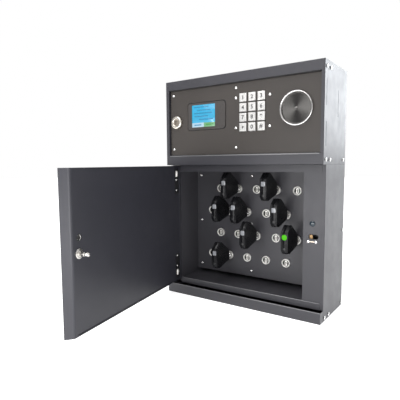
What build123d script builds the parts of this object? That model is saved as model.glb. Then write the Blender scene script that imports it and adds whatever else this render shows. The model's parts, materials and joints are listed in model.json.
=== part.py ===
"""Wall-type electronic key cabinet.

The upper section holds the electronics behind a service panel with a display, a keypad and a
contactless reader. The lower section is a compartment with a steel door, in which eight
electronic keys are plugged into a plate of twenty ports.

Frame: origin at the centre of the base, +X to the right, +Y to the wall, +Z up, millimetres.
"Depth" is measured backwards from the front plane of the upper section.
"""

import os

from build123d import *

# ---------------------------------------------------------------- driving dimensions
WIDTH = 282.0
HEIGHT = 375.0
DEPTH = 105.5
SHEET = 1.2  # steel sheet
FIT = 0.3  # running clearance between moving bodies
NEST = 0.2  # gap between sheets that lie against each other

HALF = WIDTH / 2
WALL = HALF - SHEET  # inner face of the side walls
REAR = DEPTH - SHEET  # front face of the rear panel

# upper section
HOOD_BOTTOM = 230.5
TOP_RAIL = 360.0  # lower edge of the rail over the panel
LOW_RAIL = 246.5  # upper edge of the rail under the panel
STRIP_LEFT = -134.5
STRIP_RIGHT = 136.3
RAIL_RETURN = 12.0  # depth of the flanges folded in behind the rails
REAR_FLANGE = 14.0  # width of the flanges that take the rear panel
SIDE_SLOTS = [(9.0, 313, 350), (9.0, 256, 291), (63.0, 301, 340)]  # depth, lower and upper end
SIDE_SLOT_W = 1.2

# service panel
PANEL_FACE = 4.0
PANEL_SHEET = 1.5
PANEL_BACK = PANEL_FACE + PANEL_SHEET
PANEL_LEFT, PANEL_RIGHT = STRIP_LEFT + 1.3, STRIP_RIGHT - 1.1
PANEL_LOW, PANEL_TOP = LOW_RAIL + 1.3, TOP_RAIL - 1.3
PANEL_FLANGE = 13.0  # depth of the panel's top and bottom flanges
PANEL_PIVOT = (127.0, 8.5)  # x and depth of the panel's hinge line
WINDOW = (-58.0, 312.1)
WINDOW_SIZE = (77.0, 46.8)
SCREEN_CENTRE = (-64.0, 312.7)
READER = (99.5, 311.5)
READER_R = 25.0
LOCK = (-119.0, 304.5)
LOCK_HEAD_R = 11.0
KEYPAD = (27.9, 312.2)
KEY_PITCH = (15.8, 15.27)
KEY_CAP = (12.4, 12.9)
KEY_FACE = 2.2
KEY_TRAVEL = 1.2
PANEL_SCREWS = [(-126.7, 351.2), (-126.7, 258.3), (-0.7, 351.2), (-0.7, 258.3)]
KEYPAD_SCREWS = [(-0.9, 335.4), (-0.9, 288.9), (57.5, 335.4), (57.5, 288.9)]
CARRIER_FACE = 11.0  # front of the display carrier
KEY_STEM = 5.8  # from the key's face to the end of its stem
KEYPAD_FACE = KEY_FACE + KEY_STEM + KEY_TRAVEL + FIT  # front of the keypad board
CARRIER = (-131.0, 3.5, 253.5, 355.8)  # x range and z range, as in the next areas
KEYPAD_BOARD = (-5.0, 61.6, 284.0, 340.4)

# lower section
TRAY_TOP = 16.9
WALL_FRONT = 12.0  # the right side wall starts this far behind the front plane
WALL_FRONT_LEFT = 13.1  # the left one stays clear of the door's turning corner
SHELL_TOP = HOOD_BOTTOM - 0.2
RAIL_LOW_TOP = 27.0
RAIL_TOP_LOW = 219.5
RAIL_LEFT = -119.7
JAMB_RIGHT = 108.5
JAMB_LEFT = -124.5
JAMB_LEFT_DEPTH = 17.5
FLANGE_FACE = WALL_FRONT + SHEET
LINER = (-124.0, 108.0, 25.0, 219.8)  # inner faces: left, right, floor, ceiling
LINER_FRONT, LINER_BACK = 18.9, 95.0

# key plate and ports
PLATE_FACE = 70.0
PLATE_SHEET = 1.5
PLATE_BACK = PLATE_FACE + PLATE_SHEET
PLATE_LOW = 32.0
PORT_PITCH = 36.8
ROW_PITCH = 40.8
TOP_ROW = 187.7
ROW_CENTRES = [3.2, -15.2, 3.2, -15.2]
PORT_R = 7.4
PORT_BARREL_R = 6.8
PORT_CORE_R = 5.45
PORT_FACE = PLATE_FACE - 3.1
PORT_END = 84.0
BLADE_SLOT = (2.9, 8.7)
PORT_BOARD = (-112.0, 100.0, 50.0, 203.0)  # x range and z range
PLATE_SCREWS_X = [-114.0, -7.0, 98.0]
PLATE_SCREWS_Z = [42.0, 126.5, 211.0]
KEYS_FITTED = [(0, 1), (0, 3), (1, 1), (1, 2), (1, 4), (2, 2), (2, 4), (3, 1)]

# door, described closed and then swung open about its pivot line
DOOR_LEFT, DOOR_RIGHT = -140.5, 140.0
DOOR_LOW, DOOR_TOP = 22.6, 229.2
DOOR_BACK = WALL_FRONT - FIT
DOOR_THICK = 18.4
DOOR_FRONT = DOOR_BACK - DOOR_THICK
DOOR_SKIN_LOW = 17.4  # the outer skin hangs lower than the rim, so the bottom flange slopes
DOOR_LIP = 6.0  # flange folded over the inner cover along the free edge
DOOR_PIVOT = (-130.3, DOOR_BACK - 8.85)
DOOR_OPEN = 79.2
COVER_FACE = DOOR_BACK - SHEET  # the inner cover lies one sheet below the rim
PIVOT_R = 2.0
PEG = (126.6, 124.8)
MAGNET = (125.5, 144.4)
BLOCK_SPANS = [(180.0, 224.0), (28.0, 72.0)]  # z ranges of the two hinge blocks
BARREL_ZS = [215.0, 37.2]
HINGE_SCREW_ZS = [204.5, 186.3, 68.0, 49.8]

# latch behind the right jamb
LATCH_SLOT = (117.5, 131.2, 121.6, 128.2)  # x range and z range
LATCH_SCREWS = [(116.3, 117.6), (127.9, 117.6)]
LATCH_BOX = (111.0, 135.5, 104.0, 164.0)
LATCH_ROOM = (115.0, 133.5, 118.6, 142.0)
FORK_HALF = 2.1  # half the width of the slot in the bolt, which closes over the peg's waist
SENSOR = (122.5, 144.3)
SENSOR_END = 17.4

# rear panel
WALL_HOLES = (210.0, 290.0)  # spacing of the four wall holes
WALL_HOLE_R = 3.2
WALL_HOLES_Z = 190.0
CABLE_ENTRY = (96.0, 268.0)
CABLE_R = 8.0
BOARD_POSTS = [(-40.0, 258.0), (-40.0, 346.0), (64.0, 258.0), (64.0, 346.0)]
BOARD_FACE = 88.0
POST_R = 3.0
MAIN_BOARD = (-46.0, 70.0, 252.0, 352.0)  # x range and z range, as in the next areas
MAIN_CHIP = (-20.0, 6.0, 290.0, 316.0)
SUPPLY_PLUG = (30.0, 60.0, 262.0, 274.0)
RIBBON_PLUG = (-38.0, -26.0, 300.0, 340.0)
CAPACITOR = (46.0, 320.0)
SUPPLY = (-124.0, -62.0, 250.0, 346.0)
WIRE_HOLE = (-60.0, 88.0, 10.0)  # x, depth and radius

SIDE_SCREWS = [
    (8.0, 366.0),
    (24.0, 366.0),
    (9.0, 237.4),
    (27.0, 237.4),
    (92.0, 237.4),
    (17.5, 5.4),
    (36.0, 5.4),
    (100.0, 5.4),
    (100.0, 125.0),
]
SCREW_R = 1.5
HEAD_R = 2.3
HEAD_H = 1.5
SIDE_HEAD = (2.8, 1.4)  # radius and height of the side screws' heads

os.makedirs("parts", exist_ok=True)


# ---------------------------------------------------------------- helpers
def y_at(depth):
    """Y of a place given by its depth behind the front plane."""
    return depth - DEPTH / 2


def slab(x0, x1, d0, d1, z0, z1, mode=Mode.ADD):
    """A box between two x, two depths and two z."""
    with Locations(((x0 + x1) / 2, y_at((d0 + d1) / 2), (z0 + z1) / 2)):
        Box(x1 - x0, d1 - d0, z1 - z0, mode=mode)


def rod_y(x, z, radius, d0, d1, mode=Mode.ADD):
    """A cylinder that runs front to back."""
    with Locations((x, y_at((d0 + d1) / 2), z)):
        Cylinder(radius, d1 - d0, rotation=(90, 0, 0), mode=mode)


def rod_z(x, depth, radius, z0, z1, mode=Mode.ADD):
    """An upright cylinder."""
    with Locations((x, y_at(depth), (z0 + z1) / 2)):
        Cylinder(radius, z1 - z0, mode=mode)


def rod_x(depth, z, radius, x0, x1, mode=Mode.ADD):
    """A cylinder that runs left to right."""
    with Locations(((x0 + x1) / 2, y_at(depth), z)):
        Cylinder(radius, x1 - x0, rotation=(0, 90, 0), mode=mode)


def front_plane(depth):
    """A sketch plane at a depth, seen from the front, with x to the right and z up."""
    return Plane(origin=(0, y_at(depth), 0), x_dir=(1, 0, 0), z_dir=(0, -1, 0))


def save(part, name):
    """Label a finished piece and write its STEP."""
    part.label = name
    export_step(part, f"parts/{name}.step")


def swung(part):
    """A door piece turned from closed to its open rest position."""
    pivot = Axis((DOOR_PIVOT[0], y_at(DOOR_PIVOT[1]), 0), (0, 0, 1))
    return part.rotate(pivot, -DOOR_OPEN)


def ports():
    """Row, column, x and z of each of the twenty ports."""
    return [
        (row, column, centre + (column - 2) * PORT_PITCH, TOP_ROW - row * ROW_PITCH)
        for row, centre in enumerate(ROW_CENTRES)
        for column in range(5)
    ]


def plate_screws():
    """X and z of the nine screws in the key plate."""
    return [(x, z) for x in PLATE_SCREWS_X for z in PLATE_SCREWS_Z]


def keypad_places():
    """Name, x and z of the twelve keypad keys."""
    names = ["1", "2", "3", "4", "5", "6", "7", "8", "9", "star", "0", "hash"]
    return [
        (
            name,
            KEYPAD[0] + (index % 3 - 1) * KEY_PITCH[0],
            KEYPAD[1] + (1.5 - index // 3) * KEY_PITCH[1],
        )
        for index, name in enumerate(names)
    ]


# ---------------------------------------------------------------- bottom tray
with BuildPart() as bottom_tray:
    slab(-HALF, HALF, 0, REAR, 0, SHEET)
    slab(-HALF, HALF, 0, SHEET, 0, TRAY_TOP)
    for side in (-1, 1):
        cheek = sorted((side * HALF, side * WALL))
        slab(*cheek, 0, WALL_FRONT - 0.4, 0, TRAY_TOP)
        flange = sorted((side * (WALL - NEST), side * (WALL - NEST - SHEET)))
        slab(*flange, WALL_FRONT + 3, REAR - 4, 0, 11)
    # the tab that carries the lower door pivot
    slab(-HALF, RAIL_LEFT, 0, 9.5, TRAY_TOP - SHEET, TRAY_TOP)
    rod_z(DOOR_PIVOT[0], DOOR_PIVOT[1], PIVOT_R + 0.06, 12, TRAY_TOP + 1, Mode.SUBTRACT)
    for depth, z in SIDE_SCREWS[5:8]:
        rod_x(depth, z, SCREW_R + 0.05, -HALF, HALF, Mode.SUBTRACT)
    front_edges = bottom_tray.edges().filter_by(Axis.X).group_by(Axis.Y)[0]
    fillet(front_edges, 0.5)
save(bottom_tray.part, "bottom_tray")

# ---------------------------------------------------------------- lower shell
with BuildPart() as lower_shell:
    for side in (-1, 1):
        wall = sorted((side * HALF, side * WALL))
        wall_front = WALL_FRONT if side > 0 else WALL_FRONT_LEFT
        slab(*wall, wall_front, REAR, SHEET + NEST, SHELL_TOP)
        flange = sorted((side * WALL, side * (WALL - REAR_FLANGE)))
        slab(*flange, REAR - SHEET, REAR, SHEET + NEST, SHELL_TOP)
    # the two walls are joined by the wrap under the rear panel
    slab(-WALL, WALL, REAR - SHEET, REAR, SHEET + NEST, REAR_FLANGE)
    slab(-WALL, WALL, REAR - SHEET, REAR, SHELL_TOP - REAR_FLANGE, SHELL_TOP)
    # hem on the latch side, which the door closes onto
    hem_low = TRAY_TOP + 0.5
    slab(STRIP_RIGHT, HALF, WALL_FRONT, FLANGE_FACE, hem_low, SHELL_TOP)
    slab(STRIP_RIGHT, STRIP_RIGHT + SHEET, WALL_FRONT, WALL_FRONT + 7, hem_low, SHELL_TOP)
    for depth, z in SIDE_SCREWS[5:]:
        rod_x(depth, z, SCREW_R + 0.05, -HALF - 1, HALF + 1, Mode.SUBTRACT)
    bend = lower_shell.edges().filter_by(Axis.Z).group_by(Axis.Y)[0].sort_by(Axis.X)[-1]
    fillet(bend, 1.0)
save(lower_shell.part, "lower_shell")

# ---------------------------------------------------------------- rear panel
with BuildPart() as rear_panel:
    slab(-HALF, HALF, REAR, DEPTH, 0, HEIGHT)
    with BuildSketch(front_plane(DEPTH)) as wall_holes:
        with Locations((0, WALL_HOLES_Z)):
            with GridLocations(WALL_HOLES[0], WALL_HOLES[1], 2, 2):
                Circle(WALL_HOLE_R)
    extrude(amount=SHEET, both=True, mode=Mode.SUBTRACT)
    rod_y(*CABLE_ENTRY, CABLE_R + 2.5, REAR - 1, DEPTH + 1, Mode.SUBTRACT)
save(rear_panel.part, "rear_panel")

# ---------------------------------------------------------------- rubber cable grommet
with BuildPart() as cable_grommet:
    rod_y(*CABLE_ENTRY, CABLE_R + 2.4, REAR - 2, DEPTH)
    rod_y(*CABLE_ENTRY, CABLE_R + 5, REAR - 2, REAR - 0.1)
    rod_y(*CABLE_ENTRY, CABLE_R, REAR - 4, DEPTH + 1, Mode.SUBTRACT)
save(cable_grommet.part, "cable_grommet")

# ---------------------------------------------------------------- upper hood
with BuildPart() as upper_hood:
    slab(-HALF, HALF, 0, REAR, HOOD_BOTTOM, HEIGHT)
    slab(-WALL, WALL, SHEET, REAR, HOOD_BOTTOM + SHEET, HEIGHT - SHEET, Mode.SUBTRACT)
    slab(STRIP_LEFT, STRIP_RIGHT, -1, SHEET, LOW_RAIL, TOP_RAIL, Mode.SUBTRACT)
    # only a front ledge is left of the underside, the divider shelf closes the rest
    slab(-WALL, WALL, RAIL_RETURN + 0.4, REAR, HOOD_BOTTOM - 1, HOOD_BOTTOM + 2, Mode.SUBTRACT)
    slab(-WALL, WALL, 0, RAIL_RETURN, TOP_RAIL, TOP_RAIL + SHEET)
    slab(-WALL, WALL, 0, RAIL_RETURN, LOW_RAIL - SHEET, LOW_RAIL)
    slab(STRIP_LEFT - SHEET, STRIP_LEFT, 0, 10, LOW_RAIL - SHEET, TOP_RAIL + SHEET)
    for side in (-1, 1):
        flange = sorted((side * WALL, side * (WALL - REAR_FLANGE)))
        slab(*flange, REAR - SHEET, REAR, HOOD_BOTTOM, HEIGHT - SHEET)
    for depth, low, top in SIDE_SLOTS:
        slot_depths = (depth - SIDE_SLOT_W / 2, depth + SIDE_SLOT_W / 2)
        slab(-HALF - 1, HALF + 1, *slot_depths, low, top, Mode.SUBTRACT)
    for depth, z in SIDE_SCREWS[:5]:
        rod_x(depth, z, SCREW_R + 0.05, -HALF - 1, HALF + 1, Mode.SUBTRACT)
    rod_z(*PANEL_PIVOT, 1.52, LOW_RAIL - 3, TOP_RAIL + 3, Mode.SUBTRACT)
    rod_z(*DOOR_PIVOT, PIVOT_R + 0.06, HOOD_BOTTOM - 1, HOOD_BOTTOM + 3, Mode.SUBTRACT)
    outer = upper_hood.faces().sort_by(Axis.Y)[0].outer_wire().edges()
    fillet(outer, 0.8)
save(upper_hood.part, "upper_hood")

# ---------------------------------------------------------------- divider shelf
with BuildPart() as divider_shelf:
    shelf_front = RAIL_RETURN + 0.6
    shelf_rear = REAR - SHEET - NEST
    slab(-WALL + NEST, WALL - NEST, shelf_front, shelf_rear, HOOD_BOTTOM, HOOD_BOTTOM + SHEET)
    for side in (-1, 1):
        flange = sorted((side * (WALL - NEST), side * (WALL - NEST - SHEET)))
        slab(*flange, shelf_front, REAR - 6, HOOD_BOTTOM, LOW_RAIL - 3)
        slab(*flange, 4, shelf_front, HOOD_BOTTOM + SHEET + FIT, LOW_RAIL - 3)
    rod_z(*WIRE_HOLE, HOOD_BOTTOM - 1, HOOD_BOTTOM + 3, Mode.SUBTRACT)
    for depth, z in SIDE_SCREWS[2:5]:
        rod_x(depth, z, SCREW_R + 0.05, -HALF, HALF, Mode.SUBTRACT)
save(divider_shelf.part, "divider_shelf")

# ---------------------------------------------------------------- front frame of the compartment
with BuildPart() as front_frame:
    for z0, z1, ledge in (
        (TRAY_TOP + 0.3, RAIL_LOW_TOP, RAIL_LOW_TOP - SHEET),
        (RAIL_TOP_LOW, SHELL_TOP - 0.2, RAIL_TOP_LOW),
    ):
        slab(RAIL_LEFT, STRIP_RIGHT - 0.3, WALL_FRONT, FLANGE_FACE, z0, z1)
        slab(RAIL_LEFT, STRIP_RIGHT - 0.3, WALL_FRONT, JAMB_LEFT_DEPTH + SHEET, ledge, ledge + SHEET)
        slab(JAMB_LEFT - 1, RAIL_LEFT + 5, JAMB_LEFT_DEPTH, JAMB_LEFT_DEPTH + SHEET, z0, z1)
    bottom_and_top = (TRAY_TOP + 0.3, SHELL_TOP - 0.2)
    slab(JAMB_RIGHT, STRIP_RIGHT - 0.3, FLANGE_FACE, FLANGE_FACE + SHEET, *bottom_and_top)
    slab(-WALL + 0.2, JAMB_LEFT, JAMB_LEFT_DEPTH, JAMB_LEFT_DEPTH + SHEET, *bottom_and_top)
    with BuildSketch(front_plane(FLANGE_FACE)) as latch_cutout:
        centre = ((LATCH_SLOT[0] + LATCH_SLOT[1]) / 2, (LATCH_SLOT[2] + LATCH_SLOT[3]) / 2)
        with Locations(centre):
            RectangleRounded(LATCH_SLOT[1] - LATCH_SLOT[0] + 1.6, LATCH_SLOT[3] - LATCH_SLOT[2] + 1.4, 3.9)
    extrude(amount=SHEET + 1, both=True, mode=Mode.SUBTRACT)
    rod_y(*SENSOR, 3.55, WALL_FRONT, FLANGE_FACE + 3, Mode.SUBTRACT)
    for x, z in LATCH_SCREWS:
        rod_y(x, z, SCREW_R + 0.05, WALL_FRONT, FLANGE_FACE + 3, Mode.SUBTRACT)
save(front_frame.part, "front_frame")

# ---------------------------------------------------------------- compartment liner
with BuildPart() as compartment_liner:
    left, right, floor, ceiling = LINER
    slab(left - SHEET, right + SHEET, LINER_FRONT, LINER_BACK, floor - SHEET, ceiling + SHEET)
    slab(left, right, LINER_FRONT - 1, LINER_BACK + 1, floor, ceiling, Mode.SUBTRACT)
save(compartment_liner.part, "compartment_liner")

# ---------------------------------------------------------------- key plate
with BuildPart() as key_plate:
    slab(LINER[0] + 0.3, LINER[1] - 0.3, PLATE_FACE, PLATE_BACK, PLATE_LOW, LINER[3] - 0.4)
    with BuildSketch(front_plane(PLATE_FACE)) as plate_holes:
        with Locations(*[(x, z) for row, column, x, z in ports()]):
            Circle(PORT_BARREL_R + 0.05)
        with Locations(*plate_screws()):
            Circle(SCREW_R + 0.05)
    extrude(amount=-PLATE_SHEET * 2, both=True, mode=Mode.SUBTRACT)
save(key_plate.part, "key_plate")

# ---------------------------------------------------------------- ports
with BuildPart() as port_bodies:
    for row, column, x, z in ports():
        rod_y(x, z, PORT_R, PORT_FACE, PLATE_FACE)
        rod_y(x, z, PORT_BARREL_R, PLATE_FACE, PORT_END)
        rod_y(x, z, PORT_CORE_R + 0.05, PORT_FACE - 1, PORT_END + 1, Mode.SUBTRACT)
    rims = port_bodies.edges().filter_by(GeomType.CIRCLE).group_by(Axis.Y)[0].sort_by(SortBy.RADIUS)
    fillet(rims[-20:], 0.9)
save(port_bodies.part, "port_bodies")

with BuildPart() as port_cores:
    for row, column, x, z in ports():
        rod_y(x, z, PORT_CORE_R, PORT_FACE + 1.2, PORT_END)
        half_w, half_h = BLADE_SLOT[0] / 2, BLADE_SLOT[1] / 2
        slab(x - half_w, x + half_w, PORT_FACE, PORT_END - 4, z - half_h, z + half_h, Mode.SUBTRACT)
save(port_cores.part, "port_cores")

with BuildPart() as port_nuts:
    with BuildSketch(front_plane(PLATE_BACK)) as nut_outline:
        with Locations(*[(x, z) for row, column, x, z in ports()]):
            RegularPolygon(radius=9.6, side_count=6)
            Circle(PORT_BARREL_R + 0.05, mode=Mode.SUBTRACT)
    extrude(amount=-3)
save(port_nuts.part, "port_nuts")

with BuildPart() as port_board:
    slab(*PORT_BOARD[:2], PORT_END + FIT, PORT_END + 1.9, *PORT_BOARD[2:])
    for x, z in plate_screws():
        rod_y(x, z, POST_R + 0.4, PORT_END, PORT_END + 3, Mode.SUBTRACT)
    slab(-30, -4, PORT_END + 1.9, PORT_END + 4.4, 80, 92)
    slab(40, 64, PORT_END + 1.9, PORT_END + 8, 160, 168)
save(port_board.part, "port_board")

# ---------------------------------------------------------------- electronics in the upper section
with BuildPart() as main_board:
    slab(*MAIN_BOARD[:2], BOARD_FACE, BOARD_FACE + 1.6, *MAIN_BOARD[2:])
    for area, rise in ((MAIN_CHIP, 2.5), (SUPPLY_PLUG, 11), (RIBBON_PLUG, 14)):
        slab(*area[:2], BOARD_FACE - rise, BOARD_FACE, *area[2:])
    rod_y(*CAPACITOR, 6, BOARD_FACE - 16, BOARD_FACE)
    for x, z in BOARD_POSTS:
        rod_y(x, z, SCREW_R, BOARD_FACE - 2, BOARD_FACE + 3, Mode.SUBTRACT)
save(main_board.part, "main_board")

with BuildPart() as power_supply:
    supply_face = 62
    slab(*SUPPLY[:2], supply_face, REAR, *SUPPLY[2:])
    for step in range(8):
        vent_low = SUPPLY[2] + 12 + step * 9
        vent_x = (SUPPLY[0] + 8, SUPPLY[1] - 8)
        slab(*vent_x, supply_face - 1, supply_face + 1.5, vent_low, vent_low + 3, Mode.SUBTRACT)
save(power_supply.part, "power_supply")

with BuildPart() as standoffs:
    for x, z in plate_screws():
        rod_y(x, z, POST_R, PLATE_BACK, REAR)
        rod_y(x, z, SCREW_R + 0.02, PLATE_BACK - 1, PLATE_BACK + 8, Mode.SUBTRACT)
    for x, z in BOARD_POSTS:
        rod_y(x, z, POST_R, BOARD_FACE + 1.6, REAR)
save(standoffs.part, "standoffs")

# ---------------------------------------------------------------- screws of the plate and the latch
with BuildPart() as frame_screws:
    for x, z in plate_screws():
        rod_y(x, z, HEAD_R, PLATE_FACE - HEAD_H, PLATE_FACE)
        rod_y(x, z, SCREW_R, PLATE_FACE, PLATE_FACE + 8)
    for x, z in LATCH_SCREWS:
        rod_y(x, z, HEAD_R, FLANGE_FACE - HEAD_H + 0.4, FLANGE_FACE)
        rod_y(x, z, SCREW_R, FLANGE_FACE, FLANGE_FACE + 6)
save(frame_screws.part, "frame_screws")

# ---------------------------------------------------------------- latch
with BuildPart() as latch_housing:
    slab(*LATCH_BOX[:2], FLANGE_FACE + SHEET, 44, *LATCH_BOX[2:])
    slab(*LATCH_ROOM[:2], FLANGE_FACE + SHEET + 1.6, 30, *LATCH_ROOM[2:], Mode.SUBTRACT)
    with BuildSketch(front_plane(FLANGE_FACE + SHEET)) as latch_mouth:
        with Locations(centre):
            RectangleRounded(LATCH_SLOT[1] - LATCH_SLOT[0], LATCH_SLOT[3] - LATCH_SLOT[2], 3.2)
    extrude(amount=-3, both=True, mode=Mode.SUBTRACT)
    rod_y(*SENSOR, 3.55, FLANGE_FACE, SENSOR_END, Mode.SUBTRACT)
    rod_z(PEG[0], 20.5, 2.3, 141, 158, Mode.SUBTRACT)
    for x, z in LATCH_SCREWS:
        rod_y(x, z, SCREW_R + 0.02, FLANGE_FACE, FLANGE_FACE + 8, Mode.SUBTRACT)
save(latch_housing.part, "latch_housing")

with BuildPart() as latch_bolt:
    fork_low = LATCH_SLOT[3] + 0.1
    slab(PEG[0] - 4.9, PEG[0] + 4.6, 19.6, 21.4, fork_low, fork_low + 10)
    rod_y(PEG[0], fork_low + 4.9, FORK_HALF, 19, 22, Mode.SUBTRACT)
    slot_x = (PEG[0] - FORK_HALF, PEG[0] + FORK_HALF)
    slab(*slot_x, 19, 22, fork_low - 1, fork_low + 4.9, Mode.SUBTRACT)
    rod_z(PEG[0], 20.5, 2.0, fork_low + 8, 151)
save(latch_bolt.part, "latch_bolt")

with BuildPart() as door_sensor:
    rod_y(*SENSOR, 4.3, FLANGE_FACE - 0.8, FLANGE_FACE)
    rod_y(*SENSOR, 3.5, FLANGE_FACE, SENSOR_END)
    rim = door_sensor.edges().filter_by(GeomType.CIRCLE).group_by(Axis.Y)[0]
    fillet(rim, 0.7)
save(door_sensor.part, "door_sensor")

# ---------------------------------------------------------------- side screws
with BuildPart() as side_screws:
    for side in (-1, 1):
        for depth, z in SIDE_SCREWS:
            rod_x(depth, z, SIDE_HEAD[0], *sorted((side * HALF, side * (HALF + SIDE_HEAD[1]))))
            rod_x(depth, z, SCREW_R, *sorted((side * HALF, side * (WALL - 3))))
save(side_screws.part, "side_screws")

# ---------------------------------------------------------------- service panel
with BuildPart() as panel_hinge_pins:
    rod_z(*PANEL_PIVOT, 1.5, PANEL_TOP - 2.5, TOP_RAIL + SHEET + 1.2)
    rod_z(*PANEL_PIVOT, 2.6, TOP_RAIL + SHEET, TOP_RAIL + SHEET + 1.2)
    rod_z(*PANEL_PIVOT, 1.5, LOW_RAIL - SHEET - 1.2, PANEL_LOW + 2.5)
    rod_z(*PANEL_PIVOT, 2.6, LOW_RAIL - SHEET - 1.2, LOW_RAIL - SHEET)
save(panel_hinge_pins.part, "panel_hinge_pins")

with BuildPart() as panel_plate:
    slab(PANEL_LEFT, PANEL_RIGHT, PANEL_FACE, PANEL_BACK, PANEL_LOW, PANEL_TOP)
    for z0 in (PANEL_LOW, PANEL_TOP - PANEL_SHEET):
        slab(PANEL_LEFT + 2, PANEL_RIGHT, PANEL_FACE, PANEL_FLANGE, z0, z0 + PANEL_SHEET)
    with BuildSketch(front_plane(PANEL_FACE)) as panel_cutouts:
        with Locations(WINDOW):
            RectangleRounded(*WINDOW_SIZE, 5)
        with Locations(*[(x, z) for name, x, z in keypad_places()]):
            Rectangle(KEY_CAP[0] + 2 * FIT, KEY_CAP[1] + 2 * FIT)
        with Locations(READER):
            Circle(18.05)
        with Locations(LOCK):
            Circle(8.05)
        with Locations(*(PANEL_SCREWS + KEYPAD_SCREWS)):
            Circle(SCREW_R + 0.05)
    extrude(amount=-PANEL_SHEET * 2, both=True, mode=Mode.SUBTRACT)
    rod_z(*PANEL_PIVOT, 1.56, PANEL_LOW - 1, PANEL_TOP + 1, Mode.SUBTRACT)
save(panel_plate.part, "panel_plate")

with BuildPart() as display_window:
    with BuildSketch(front_plane(PANEL_FACE - 0.3)) as window_front:
        with Locations(WINDOW):
            RectangleRounded(WINDOW_SIZE[0] - 0.2, WINDOW_SIZE[1] - 0.2, 4.9)
    extrude(amount=-(PANEL_SHEET + 0.3))
    with BuildSketch(front_plane(PANEL_BACK)) as window_flange:
        with Locations(WINDOW):
            RectangleRounded(WINDOW_SIZE[0] + 5, WINDOW_SIZE[1] + 5, 6)
    extrude(amount=-1.5)
save(display_window.part, "display_window")

with BuildPart() as display_module:
    screen_x, screen_z = SCREEN_CENTRE
    slab(screen_x - 29, screen_x + 29, 7.2, CARRIER_FACE, screen_z - 22.5, screen_z + 22.5)
    slab(*CARRIER[:2], CARRIER_FACE, CARRIER_FACE + SHEET, *CARRIER[2:])
    for x, z in PANEL_SCREWS:
        rod_y(x, z, POST_R, PANEL_BACK, CARRIER_FACE)
        rod_y(x, z, SCREW_R + 0.02, PANEL_BACK - 1, CARRIER_FACE + 3, Mode.SUBTRACT)
    rod_y(*LOCK, 9, PANEL_BACK, CARRIER_FACE + 3, Mode.SUBTRACT)
save(display_module.part, "display_module")

with BuildPart() as keypad_board:
    slab(*KEYPAD_BOARD[:2], KEYPAD_FACE, KEYPAD_FACE + 1.3, *KEYPAD_BOARD[2:])
    for x, z in KEYPAD_SCREWS:
        rod_y(x, z, 2.9, PANEL_BACK, KEYPAD_FACE)
        rod_y(x, z, SCREW_R + 0.02, PANEL_BACK - 1, KEYPAD_FACE + 3, Mode.SUBTRACT)
save(keypad_board.part, "keypad_board")

with BuildPart() as panel_screws:
    for x, z in PANEL_SCREWS + KEYPAD_SCREWS:
        rod_y(x, z, HEAD_R, PANEL_FACE - HEAD_H, PANEL_FACE)
        rod_y(x, z, SCREW_R, PANEL_FACE, KEYPAD_FACE + 1)
save(panel_screws.part, "panel_screws")

with BuildPart() as reader_disc:
    rod_y(*READER, READER_R - 3.1, PANEL_FACE - 2.5, PANEL_FACE)
    rod_y(*READER, 18, PANEL_FACE, 14)
save(reader_disc.part, "reader_disc")

with BuildPart() as reader_ring:
    rod_y(*READER, READER_R, PANEL_FACE - 4.5, PANEL_FACE)
    rod_y(*READER, READER_R - 3, PANEL_FACE - 6, PANEL_FACE + 1, Mode.SUBTRACT)
    rims = reader_ring.edges().filter_by(GeomType.CIRCLE).group_by(Axis.Y)[0]
    fillet(rims, 1.2)
save(reader_ring.part, "reader_ring")

# ---------------------------------------------------------------- cam lock
with BuildPart() as lock_body:
    rod_y(*LOCK, LOCK_HEAD_R, PANEL_FACE - 5, PANEL_FACE)
    rod_y(*LOCK, 8, PANEL_FACE, 20)
    rod_y(*LOCK, 5.56, PANEL_FACE - 6, 21, Mode.SUBTRACT)
    rims = lock_body.edges().filter_by(GeomType.CIRCLE).group_by(Axis.Y)[0]
    fillet(rims.sort_by(SortBy.RADIUS)[-1], 1.5)
save(lock_body.part, "lock_body")

with BuildPart() as lock_plug:
    rod_y(*LOCK, 5.5, PANEL_FACE - 4.7, 21)
    slab(LOCK[0] - 0.8, LOCK[0] + 0.8, PANEL_FACE - 6, 12, LOCK[1] - 3.6, LOCK[1] + 3.6, Mode.SUBTRACT)
save(lock_plug.part, "lock_plug")

with BuildPart() as lock_cam:
    rod_y(*LOCK, 7, 21, 22.8)
    slab(LOCK[0] - 6, LOCK[0] + 6, 21, 22.8, LOCK[1], LOCK[1] + 19.5)
save(lock_cam.part, "lock_cam")

# ---------------------------------------------------------------- keypad keys
for key_name, key_x, key_z in keypad_places():
    with BuildPart() as keypad_key:
        half_w, half_h = KEY_CAP[0] / 2, KEY_CAP[1] / 2
        slab(key_x - half_w, key_x + half_w, KEY_FACE, PANEL_BACK + 0.5, key_z - half_h, key_z + half_h)
        cap_edges = keypad_key.faces().sort_by(Axis.Y)[0].edges()
        fillet(cap_edges, 0.6)
        slab(key_x - 7.1, key_x + 7.1, PANEL_BACK + 0.4, PANEL_BACK + 1.5, key_z - 7.1, key_z + 7.1)
        rod_y(key_x, key_z, 3, PANEL_BACK + 1.5, KEY_FACE + KEY_STEM)
    save(keypad_key.part, f"keypad_key_{key_name}")

# ---------------------------------------------------------------- door
pivot_x, pivot_depth = DOOR_PIVOT


def door_section(inset, rear):
    """The door's upright section, front to back, drawn in from its outside by inset."""
    with BuildLine() as edge:
        Polyline(
            (y_at(DOOR_FRONT + inset), DOOR_SKIN_LOW + inset),
            (y_at(DOOR_FRONT + inset), DOOR_TOP - inset),
            (y_at(rear), DOOR_TOP - inset),
            (y_at(rear), DOOR_LOW + inset),
            close=True,
        )
    make_face(edge.edges())


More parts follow.
